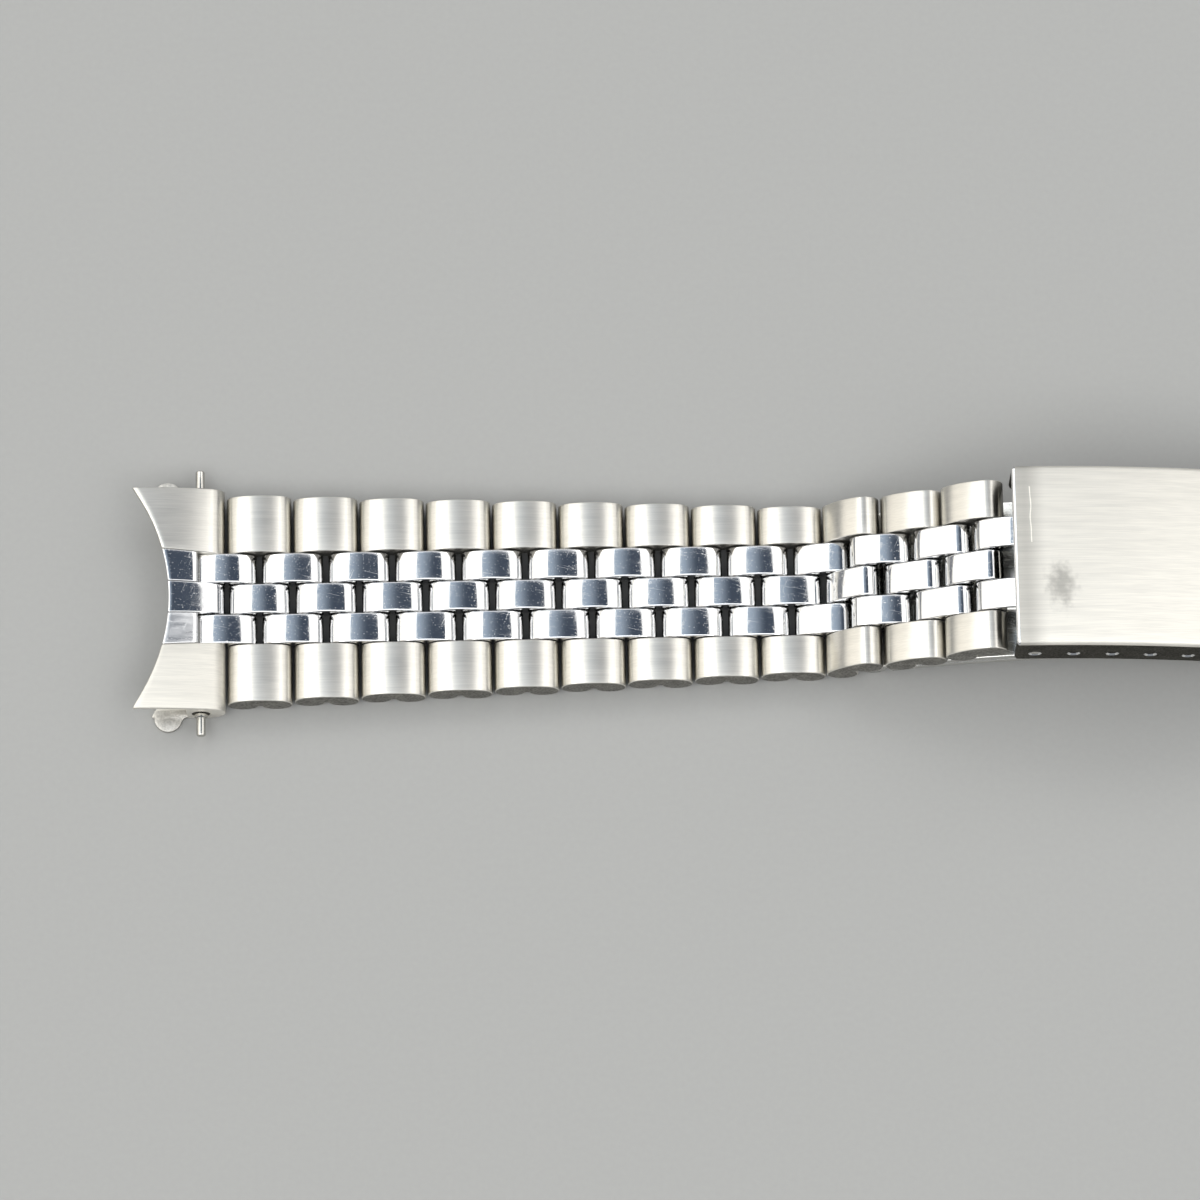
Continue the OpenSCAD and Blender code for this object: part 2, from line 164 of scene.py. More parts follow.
class Shape:
    """Gathers the points and faces of one piece, with a finish for each face and, for each point, the grime and
    painted shade that darken it.
    """

    def __init__(self):
        self.points, self.faces, self.finishes, self.dirt_and_shade = [], [], [], []

    def loft(self, rings, finish, cap=None, looped=False, dirt_and_shade=0.0):
        """Joins rings of as many points each. A cap finish closes both ends, looped joins them.

        The finish may be a list with one for each pair of rings.
        """
        start, n = len(self.points), len(rings[0])
        for ring in rings:
            self.points += [tuple(p) for p in ring]
            self.dirt_and_shade += list(dirt_and_shade) if isinstance(dirt_and_shade, (list, tuple)) else [dirt_and_shade] * n
        for i in range(len(rings) - (not looped)):
            a, b = start + i * n, start + (i + 1) % len(rings) * n
            self.faces += [(a + j, a + (j + 1) % n, b + (j + 1) % n, b + j) for j in range(n)]
            self.finishes += [finish[i] if isinstance(finish, list) else finish] * n
        if cap is not None:
            last = start + (len(rings) - 1) * n
            self.faces += [tuple(range(start + n - 1, start - 1, -1)), tuple(range(last, last + n))]
            self.finishes += [cap] * 2

    def turned(self, centre, profile, finish, turns=40, cap=None, looped=False):
        """A turned part on a line along Y through centre. The profile is (radius, y) pairs."""
        angles = [math.tau * i / turns for i in range(turns)]
        self.loft([[(centre.x + r * math.sin(a), y, centre.y + r * math.cos(a)) for a in angles]
                   for r, y in profile], finish, cap, looped)


def rims(edge, steps=3):
    """How far a rounded edge has come in, as (inset, depth) pairs from the flat to the side."""
    turns = [math.pi / 2 * i / steps for i in range(steps + 1)]
    return [(edge * (1 - math.sin(t)), edge * (1 - math.cos(t))) for t in turns]


def both_rims(start, end, edge, steps=3):
    """Insets and places of the rings of a slab from start to end, with rounded edges."""
    near = [(inset, start + depth) for inset, depth in rims(edge, steps)]
    return near + [(inset, end - depth) for inset, depth in reversed(rims(edge, steps))]


def box_uv(mesh):
    """Flat UVs by each face's main direction, in metres. U runs the way that a sheet is brushed."""
    layer = mesh.uv_layers.new(name="grain")
    for face in mesh.polygons:
        main = max(range(3), key=lambda i: abs(face.normal[i]))
        u, v = {0: (2, 1), 1: (0, 2), 2: (0, 1)}[main]
        for loop in face.loop_indices:
            co = mesh.vertices[mesh.loops[loop].vertex_index].co
            layer.data[loop].uv = (co[u], co[v])


def finish_mesh(mesh, sharp=SHARP):
    """Turns all faces outwards and shades the mesh smooth, apart from its sharp edges."""
    work = bmesh.new()
    work.from_mesh(mesh)
    bmesh.ops.recalc_face_normals(work, faces=work.faces)
    work.to_mesh(mesh)
    work.free()
    for face in mesh.polygons:
        face.use_smooth = True
    mesh.set_sharp_from_angle(angle=math.radians(sharp))


def mesh_object(name, shape, finishes, sharp=SHARP):
    """A new piece with a shape, its finishes as materials and the grime and painted shade of its points."""
    mesh = bpy.data.meshes.new(name)
    mesh.from_pydata(shape.points, [], shape.faces)
    for finish in finishes:
        mesh.materials.append(finish)
    mesh.polygons.foreach_set("material_index", shape.finishes)
    # This attribute holds grime and painted shade: the round ends of links darken where they face each other
    mesh.attributes.new("dirt_and_shade", "FLOAT", "POINT").data.foreach_set("value", shape.dirt_and_shade)
    finish_mesh(mesh, sharp)
    piece = bpy.data.objects.new(name, mesh)
    bpy.context.scene.collection.objects.link(piece)
    return piece


def applied(piece):
    """The piece with its modifiers made part of its mesh."""
    graph = bpy.context.evaluated_depsgraph_get()
    piece.data = bpy.data.meshes.new_from_object(piece.evaluated_get(graph))
    piece.modifiers.clear()
    finish_mesh(piece.data)
    return piece


def cut(piece, shape):
    """Cuts a shape out of a piece."""
    tool = mesh_object("tool", shape, list(piece.data.materials))
    difference = piece.modifiers.new("cut", "BOOLEAN")
    difference.operation, difference.solver, difference.object = "DIFFERENCE", "EXACT", tool
    applied(piece)
    bpy.data.objects.remove(tool)
    return piece


def join(piece, extra):
    """Makes another piece part of this one."""
    with bpy.context.temp_override(active_object=piece, selected_editable_objects=[piece, extra]):
        bpy.ops.object.join()


def rounded(piece, width):
    """The piece with its sharp edges rounded."""
    bevel = piece.modifiers.new("edges", "BEVEL")
    bevel.width, bevel.segments, bevel.angle_limit = width, 3, math.radians(BROKEN)
    bevel.limit_method, bevel.use_clamp_overlap = "ANGLE", True
    return applied(piece)


def hand_over(piece, node):
    """Lets a piece stand for its CAD node and move with that node's body."""
    box_uv(piece.data)
    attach(piece, BODY_OF[node])
    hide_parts(node)


# Materials

def feed(tree, node, inputs):
    """Sets a node's inputs, or joins them to another node or to one of its outputs."""
    for key, value in inputs.items():
        if isinstance(value, bpy.types.Node):
            value = value.outputs[0]
        if isinstance(value, bpy.types.NodeSocket):
            tree.links.new(value, node.inputs[key])
        else:
            node.inputs[key].default_value = value


def add(tree, kind, inputs=None, **settings):
    """Adds a node with its settings, and feeds its inputs."""
    node = tree.nodes.new(kind)
    for key, value in settings.items():
        setattr(node, key, value)
    feed(tree, node, inputs or {})
    return node


def per_mm(x, y, z):
    """Scales that give a pattern features of these sizes in mm from coordinates in metres."""
    return (1 / (x * MM), 1 / (y * MM), 1 / (z * MM))


def mottle(tree, place, size, detail, start=(0, 0, 0)):
    """An uneven pattern with features of a size in mm along X, Y and Z, as a value about 0.5."""
    scaled = add(tree, "ShaderNodeMapping", {"Vector": place, "Scale": per_mm(*size), "Location": start})
    return add(tree, "ShaderNodeTexNoise", {"Vector": scaled, "Scale": 1.0, "Detail": detail})


def streaks(tree, place, size, turn, low, high, seed=0.0):
    """Sparse thin straight marks of a size in mm, turned about Z by some degrees, as a value from 0 to 1."""
    about = add(tree, "ShaderNodeVectorRotate", {"Vector": place, "Angle": math.radians(turn)},
                rotation_type="Z_AXIS")
    grain = mottle(tree, about, size, 0.0, (seed, seed * 1.7, 0))
    return add(tree, "ShaderNodeMapRange", {"Value": grain, "From Min": low, "From Max": high})


def grime_and_shade(tree, least):
    """How bright a metal stays in its crevices under grime and painted shade, from 1 where a point has none to
    least where it has all.
    """
    dirt_and_shade = add(tree, "ShaderNodeAttribute", attribute_name="dirt_and_shade")
    return add(tree, "ShaderNodeMapRange", {"Value": dirt_and_shade.outputs["Fac"], "To Min": 1.0, "To Max": least})


def shaded(tree, base, *factors):
    """A colour made darker by the product of several values."""
    shade = factors[0]
    for factor in factors[1:]:
        shade = add(tree, "ShaderNodeMath", {0: shade, 1: factor}, operation="MULTIPLY")
    return add(tree, "ShaderNodeVectorMath", {0: tuple(base), "Scale": shade}, operation="SCALE")


def steel(name, base, roughness, anisotropic=0.0):
    """A new metal with its base colour and the shader, its tree and the object's own coordinates."""
    material = bpy.data.materials.new(name)
    material.use_nodes = True
    tree = material.node_tree
    shader = tree.nodes["Principled BSDF"]
    feed(tree, shader, {"Metallic": 1.0, "Base Color": (*base, 1), "Roughness": roughness,
                        "Anisotropic": anisotropic})
    if anisotropic:
        # A quarter turn: brushed lines along U spread the light across them
        feed(tree, shader, {"Anisotropic Rotation": 0.25, "Tangent": add(
            tree, "ShaderNodeTangent", direction_type="UV_MAP", uv_map="grain")})
    place = add(tree, "ShaderNodeTexCoord").outputs["Object"]
    return material, tree, shader, place


def brushed_stainless(name="brushed_stainless", satin=0.37, drawn=0.85, bright=1.0, handled_and_lit=False):
    """Stainless steel brushed lengthwise on a belt: a satin sheen drawn out across fine straight lines."""
    finish = bpy.context.scene.bracelet_finishes
    material, tree, shader, place = steel(name, finish.brushed, satin, drawn)
    # Belt lines are about 0.03 mm apart, drawn at 0.09 mm so that they show in the render
    grain = mottle(tree, place, (4, 0.09, 0.4), 3.0)
    drift = mottle(tree, place, (9, 0.4, 2), 2.0)
    marks = streaks(tree, place, (3.0, 0.07, 1.0), turn=42, low=0.76, high=0.82, seed=3.1)
    rough = add(tree, "ShaderNodeMapRange", {"Value": grain, "From Min": 0.3, "From Max": 0.7,
                                             "To Min": satin - 0.04, "To Max": satin + 0.04})
    tone = add(tree, "ShaderNodeMapRange", {"Value": drift, "From Min": 0.3, "From Max": 0.7,
                                            "To Min": 0.93 * bright, "To Max": bright})
    fine = add(tree, "ShaderNodeMapRange", {"Value": grain, "From Min": 0.35, "From Max": 0.65,
                                            "To Min": 0.9, "To Max": 1.0})
    # The round ends darken with grime and painted shade between the links
    factors = [tone, grime_and_shade(tree, 0.3), fine]
    if handled_and_lit:
        factors.append(finger_mark_and_painted_light(tree, place))
    height = add(tree, "ShaderNodeMath", {0: marks, 1: -1.0, 2: grain}, operation="MULTIPLY_ADD")
    bump = add(tree, "ShaderNodeBump", {"Strength": 0.5, "Distance": 0.003 * MM, "Height": height})
    feed(tree, shader, {"Base Color": shaded(tree, finish.brushed, *factors), "Roughness": rough,
                        "Normal": bump})
    return material


def finger_mark_and_painted_light(tree, place):
    """How bright the cover stays under a greasy touch, on a scratch, with painted shade along its left end and
    painted light that brightens its near side and darkens its far side.
    """
    clasp = bpy.context.scene.bracelet_clasp
    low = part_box("clasp_cover")[0]
    mark = (low.x + clasp.mark_along, clasp.mark_across, 0)
    offset = add(tree, "ShaderNodeVectorMath", {0: place, 1: mark}, operation="SUBTRACT")
    flat = add(tree, "ShaderNodeVectorMath", {0: offset, 1: per_mm(1.5, 2.3, 1000)}, operation="MULTIPLY")
    far = add(tree, "ShaderNodeVectorMath", {0: flat}, operation="LENGTH")
    cloud = add(tree, "ShaderNodeTexNoise", {"Vector": place, "Scale": 1 / (0.7 * MM), "Detail": 4.0})
    ragged = add(tree, "ShaderNodeMath", {0: cloud, 1: 1.4, 2: far.outputs["Value"]}, operation="MULTIPLY_ADD")
    touch = add(tree, "ShaderNodeMapRange", {"Value": ragged, "From Min": 0.8, "From Max": 1.9,
                                             "To Min": 0.6, "To Max": 1.0}, interpolation_type="SMOOTHSTEP")
    along = add(tree, "ShaderNodeSeparateXYZ", {0: place})
    x, y = along.outputs["X"], along.outputs["Y"]
    shade_start, shade_end, scratch_x = low.x + 0.9 * MM, low.x + 3 * MM, low.x + 1.3 * MM
    # Painted shade: the cover darkens towards its left end
    end = add(tree, "ShaderNodeMapRange", {"Value": x, "From Min": shade_start, "From Max": shade_end,
                                           "To Min": 0.7, "To Max": 1.0}, interpolation_type="SMOOTHSTEP")
    # Painted light: the near side is brighter and the far side darker
    across = add(tree, "ShaderNodeMapRange", {"Value": y, "From Min": low.y, "From Max": -low.y,
                                              "To Min": 1.1, "To Max": 0.92})
    shade = touch
    for factor in (end, across):
        shade = add(tree, "ShaderNodeMath", {0: shade, 1: factor}, operation="MULTIPLY")
    # The scratch runs across, wavering a little, and stays bright in the painted shade of the left end
    waver = add(tree, "ShaderNodeTexNoise", {"W": y, "Scale": 1 / (3 * MM), "Detail": 1.0},
                noise_dimensions="1D")
    line = add(tree, "ShaderNodeMath", {0: waver, 1: -0.4 * MM, 2: x}, operation="MULTIPLY_ADD")
    beside = add(tree, "ShaderNodeMath", {0: line, 1: scratch_x, 2: 0.05 * MM}, operation="COMPARE")
    reach = add(tree, "ShaderNodeMath", {0: y, 1: 3.6 * MM, 2: 2.5 * MM}, operation="COMPARE")
    scratch = add(tree, "ShaderNodeMath", {0: beside, 1: reach}, operation="MULTIPLY")
    bright = add(tree, "ShaderNodeMath", {0: scratch, 1: 1.15}, operation="MULTIPLY")
    return add(tree, "ShaderNodeMath", {0: shade, 1: bright}, operation="MAXIMUM")


def handled_and_lit_stainless():
    """The same brushed steel on the cover, which fingers press: a greasy touch dulls it, painted shade darkens its
    left end, and painted light brightens its colour and its near side.
    """
    # bright=1.1 is painted light: the cover is made brighter than the links' brushed steel
    return brushed_stainless("brushed_stainless_handled_and_lit", satin=0.58, drawn=0.4, bright=1.1, handled_and_lit=True)


def worn_and_lit_stainless():
    """The same brushed steel where a sleeve rubs it: soft worn lines under a broad pale sheen, whose paler colour
    is painted light.
    """
    # bright=1.06 is painted light: the near row is made brighter than the other brushed rows
    return brushed_stainless("brushed_stainless_worn_and_lit", satin=0.6, drawn=0.3, bright=1.06)


def polished_stainless(name="polished_stainless", clear=0.05, hazy=0.14):
    """Stainless steel polished on a wheel and then worn: a mirror with fine scratches that catch the light."""
    finish = bpy.context.scene.bracelet_finishes
    material, tree, shader, place = steel(name, finish.polished, clear)
    # Hairlines are some 0.01 mm wide and nicks 0.03 mm, drawn wider so that they show
    hair = streaks(tree, place, (3.2, 0.05, 1.0), turn=12, low=0.74, high=0.84)
    cross = streaks(tree, place, (2.0, 0.05, 1.0), turn=-66, low=0.76, high=0.86, seed=5.3)
    nicks = streaks(tree, place, (0.14, 0.1, 0.2), turn=0, low=0.7, high=0.78, seed=9.1)
    marks = add(tree, "ShaderNodeMath", {0: hair, 1: cross}, operation="MAXIMUM")
    marks = add(tree, "ShaderNodeMath", {0: marks, 1: nicks}, operation="MAXIMUM")
    cloud = mottle(tree, place, (2.2, 0.5, 2), 3.0)
    rough = add(tree, "ShaderNodeMapRange", {"Value": cloud, "From Min": 0.35, "From Max": 0.7,
                                             "To Min": clear, "To Max": hazy})
    rougher = add(tree, "ShaderNodeMath", {0: marks, 1: 0.2, 2: rough}, operation="MULTIPLY_ADD")
    bump = add(tree, "ShaderNodeBump", {"Strength": 0.5, "Distance": 0.002 * MM, "Height": marks}, invert=True)
    # The round ends darken with grime and painted shade between the links
    feed(tree, shader, {"Base Color": shaded(tree, finish.polished, grime_and_shade(tree, 0.22)), "Roughness": rougher,
                        "Normal": bump})
    return material


def rubbed_stainless():
    """Polished steel that a case and fingers rubbed dull: a soft bright haze instead of a mirror."""
    return polished_stainless("polished_stainless_rubbed", clear=0.26, hazy=0.4)


def tumbled_stainless(name="tumbled_stainless", tone=None, grazing=1.0, pitted=0.55):
    """Stainless steel left as it was sawn and tumbled, with skin grime in its pits: dull grey and gritty."""
    tone = tone or bpy.context.scene.bracelet_finishes.tumbled
    material, tree, shader, place = steel(name, tone, 0.42)
    fine = add(tree, "ShaderNodeTexNoise", {"Vector": place, "Scale": 1 / (0.2 * MM), "Detail": 3.0})
    broad = add(tree, "ShaderNodeTexNoise", {"Vector": place, "Scale": 1 / (0.9 * MM), "Detail": 2.0})
    pits = add(tree, "ShaderNodeMapRange", {"Value": fine, "From Min": 0.42, "From Max": 0.6,
                                            "To Min": pitted, "To Max": 1.0})
    dirt = add(tree, "ShaderNodeMapRange", {"Value": broad, "From Min": 0.35, "From Max": 0.65,
                                            "To Min": 0.7, "To Max": 1.0})
    rough = add(tree, "ShaderNodeMapRange", {"Value": fine, "To Min": 0.6, "To Max": 0.3})
    bump = add(tree, "ShaderNodeBump", {"Strength": 0.7, "Distance": 0.03 * MM, "Height": fine})
    feed(tree, shader, {"Base Color": shaded(tree, tone, pits, dirt), "Roughness": rough, "Normal": bump,
                        "Specular Tint": (grazing, grazing, grazing, 1)})
    return material


def wall_stainless():
    """The same tumbled steel on the cover's walls and inside, where grime also dulls its glancing shine; their
    darker colour is painted shade.
    """
    return tumbled_stainless("tumbled_stainless_walls", bpy.context.scene.bracelet_finishes.walls, grazing=0.4)


def sheared_stainless():
    """The sheet of the ears as the press sheared it: paler than the sides of the links, and hardly pitted."""
    return tumbled_stainless("sheared_stainless_sheet", bpy.context.scene.bracelet_finishes.sheared,
                             pitted=0.82)


def rolled_stainless():
    """Stainless strip as the rolling mill leaves it: bright and nearly smooth, with faint lines along it."""
    finish = bpy.context.scene.bracelet_finishes
    material, tree, shader, place = steel("rolled_stainless_strip", finish.rolled, 0.2, anisotropic=0.3)
    # Rolling lines are about 0.05 mm apart, drawn at 0.15 mm so that they show
    grain = mottle(tree, place, (14, 0.15, 3), 3.0)
    rough = add(tree, "ShaderNodeMapRange", {"Value": grain, "From Min": 0.3, "From Max": 0.7,
                                             "To Min": 0.14, "To Max": 0.3})
    rubs = streaks(tree, place, (2.4, 0.1, 1.0), turn=24, low=0.69, high=0.75, seed=2.2)
    height = add(tree, "ShaderNodeMath", {0: rubs, 1: -1.0, 2: grain}, operation="MULTIPLY_ADD")
    bump = add(tree, "ShaderNodeBump", {"Strength": 0.4, "Distance": 0.01 * MM, "Height": height})
    feed(tree, shader, {"Roughness": rough, "Normal": bump})
    return material


def turned_stainless():
    """Stainless rod turned on a lathe: bright, with fine rings round it."""
    finish = bpy.context.scene.bracelet_finishes
    material, tree, shader, place = steel("turned_stainless", finish.turned, 0.2)
    # Rings are about 0.02 mm apart, drawn at 0.09 mm so that they show
    rings = mottle(tree, place, (40, 0.09, 40), 2.0)
    rough = add(tree, "ShaderNodeMapRange", {"Value": rings, "To Min": 0.12, "To Max": 0.32})
    bump = add(tree, "ShaderNodeBump", {"Strength": 0.5, "Distance": 0.01 * MM, "Height": rings})
    feed(tree, shader, {"Roughness": rough, "Normal": bump})
    return material


def drawn_wire():
    """Hard-drawn spring wire: darker grey, clouded by a little oil."""
    finish = bpy.context.scene.bracelet_finishes
    material, tree, shader, place = steel("drawn_spring_wire", finish.wire, 0.28)
    oil = add(tree, "ShaderNodeTexNoise", {"Vector": place, "Scale": 1 / (0.2 * MM), "Detail": 3.0})
    rough = add(tree, "ShaderNodeMapRange", {"Value": oil, "To Min": 0.2, "To Max": 0.42})
    feed(tree, shader, {"Roughness": rough})
    return material


MATERIALS = {}
MAKERS = {"brushed": brushed_stainless, "handled_and_lit": handled_and_lit_stainless, "worn_and_lit": worn_and_lit_stainless,
          "polished": polished_stainless, "rubbed": rubbed_stainless, "tumbled": tumbled_stainless,
          "walls": wall_stainless, "sheared": sheared_stainless, "rolled": rolled_stainless,
          "turned": turned_stainless, "wire": drawn_wire}


def materials(*names):
    """The finishes by name, each made once."""
    for name in names:
        if name not in MATERIALS:
            MATERIALS[name] = MAKERS[name]()
    return [MATERIALS[name] for name in names]


# Links and beads

# Points along the crown and along each round end of a link
CROWN_POINTS, END_POINTS = 25, 27
# Grime and painted shade on a round end, in degrees from its top: they thicken over the rise, thin towards the end
# underneath
GRIME_SHADE_START, GRIME_SHADE_RISE, GRIME_SHADE_END, GRIME_SHADE_FALL, GRIME_SHADE_LEAST = 78, 30, 165, 45, 0.25


def link_outline(span_x, end_r, crown_r, notch, inset, tilt=0.0):
    """Points round the side of a link from left over its crown, as (x, z, grime and painted shade), drawn smaller
    by inset.

    The crown's middle slopes by tilt, as no two links come off the polishing wheel quite alike.
    """
    half = span_x / 2
    lean = math.asin(half / (crown_r - end_r))
    crown_z = -math.sqrt((crown_r - end_r) ** 2 - half ** 2)
    floor_a = math.tau - math.acos((inset - notch) / (end_r - inset))
    crown = []
    for a in span(-lean, lean, CROWN_POINTS):
        x = (crown_r - inset) * math.sin(a)
        slope = tilt * x * (1 - (math.sin(a) / math.sin(lean)) ** 2)
        crown.append((x, crown_z + (crown_r - inset) * math.cos(a) + slope, 0.0))
    end = [(half + (end_r - inset) * math.sin(a), (end_r - inset) * math.cos(a), crevice(math.degrees(a)))
           for a in span(lean, floor_a, END_POINTS)[1:]]
    return crown + end + [(-x, z, w) for x, z, w in reversed(end)]


def crevice(turn):
    """Grime and painted shade on a link's round end at some degrees from its top: thick between links, where shade
    falls, and thin underneath.
    """
    rise, fall = (turn - GRIME_SHADE_START) / GRIME_SHADE_RISE, (GRIME_SHADE_END - turn) / GRIME_SHADE_FALL
    return min(1.0, max(0.0, rise), max(GRIME_SHADE_LEAST, fall))


def slab(shape, left, right, outline, y0, y1, edge, finish, side):
    """A solid with a link's outline between two pivots and between y0 and y1, with rounded edges."""
    middle, along = (left + right) / 2, (right - left).normalized()
    rings = []
    for inset, y in both_rims(y0, y1, edge):
        points = outline(inset)
        rings.append([(middle.x + x * along.x - z * along.y, y, middle.y + x * along.y + z * along.x)
                      for x, z, _ in points])
    shape.loft(rings, finish, side, dirt_and_shade=[w for _, _, w in points])


def row_edges(row):
    """The two faces of a polished row, which are numbered -1, 0 and 1."""
    sizes = bpy.context.scene.bracelet_links
    half = (sizes.row_pitch - sizes.row_gap) / 2
    return row * sizes.row_pitch - half, row * sizes.row_pitch + half


def outer_face():
    """Where the inner face of an outer link lies, beside the polished rows."""
    sizes = bpy.context.scene.bracelet_links
    return 1.5 * sizes.row_pitch + sizes.row_gap / 2


def hand_made(shape, left, right, hand, play, r, crown, faces, edge, finish, side):
    """A link between two pivots whose crown slopes by chance, as far as play."""
    notch, reach = bpy.context.scene.bracelet_links.notch, (right - left).length
    tilt = hand.uniform(-play, play)
    slab(shape, left, right, lambda inset: link_outline(reach, r, crown, notch, inset, tilt), *faces,
         edge, finish, side)


def pin_rod(shape, point, half, radius, finish):
    """A pin along Y with slightly domed ends."""
    dome, flat = 0.12 * MM, 0.9
    end = [(radius * math.cos(t), half - dome + dome * math.sin(t)) for t in span(0, math.pi / 2 * flat, 5)]
    shape.turned(point, [(r, -y) for r, y in reversed(end)] + end, finish, turns=32, cap=finish)


class BRACELET_OT_links(bpy.types.Operator):
    """Builds every link body: two brushed outer links, a polished middle link and their two pins"""
    bl_idname = "bracelet.links"
    bl_label = "Build Links"

    def execute(self, context):
        sizes = context.scene.bracelet_links
        finishes = materials("brushed", "polished", "tumbled", "turned")
        brushed, polished, tumbled, turned = range(4)
        for half in HALVES:
            for node, left, right in chain(half)[1::2]:
                width, face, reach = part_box(node)[1].y, outer_face(), (right - left).length
                outer_r, inner_r = (reach - sizes.outer_gap) / 2, (reach - sizes.inner_gap) / 2
                hand, play, shape = random.Random(node), sizes.hand_tilt, Shape()
                for faces in ((-width, -face), (face, width)):
                    hand_made(shape, left, right, hand, play / 2, outer_r, sizes.outer_crown, faces,
                              sizes.outer_edge, brushed, tumbled)
                hand_made(shape, left, right, hand, play, inner_r, sizes.inner_crown, row_edges(0),
                          sizes.inner_edge, polished, polished)
                for point in (left, right):
                    pin_rod(shape, point, face + sizes.pin_depth, sizes.pin_radius, turned)
                hand_over(mesh_object(f"{node}_body", shape, finishes), node)
        return {"FINISHED"}


class BRACELET_OT_beads(bpy.types.Operator):
    """Builds every pair of polished beads"""
    bl_idname = "bracelet.beads"
    bl_label = "Build Bead Pairs"

    def execute(self, context):
        sizes = context.scene.bracelet_links
        inner_r = (link_pitch() - sizes.inner_gap) / 2
        polished, tumbled = range(2)
        for half in HALVES:
            for node, left, right in chain(half)[0::2]:
                hand, shape = random.Random(node), Shape()
                for row in (-1, 1):
                    hand_made(shape, left, right, hand, sizes.hand_tilt, inner_r, sizes.inner_crown,
                              row_edges(row), sizes.inner_edge, polished, polished)
                piece = mesh_object(f"{node}_beads", shape, materials("polished", "tumbled"))
                for bar in map(bar_point, BARS):
                    if min((bar - left).length, (bar - right).length) < sizes.pin_radius:
                        bore, r, out = Shape(), context.scene.bracelet_ends.bore_radius, 2 * sizes.row_pitch
                        bore.turned(bar, [(r, -out), (r, out)], tumbled, turns=48, cap=tumbled)
                        cut(piece, bore)
                hand_over(piece, node)
        return {"FINISHED"}


# End pieces

# Points along the top skin, the bend, the skins inside and the skin over or under a bead
TOP_POINTS, BEND_POINTS, SKIN_POINTS, PLATE_POINTS = 14, 22, 8, 10
# Rings across a row between its rounded edges, and points along the skin under a bead
ROW_RINGS, LOW_POINTS = 6, 6
# Row lines of the lugs and of both sides of the polished rows, counted in row pitches from the middle
LUG_LINE, OUTER_LINE, INNER_LINE = 3, 1.5, 0.5


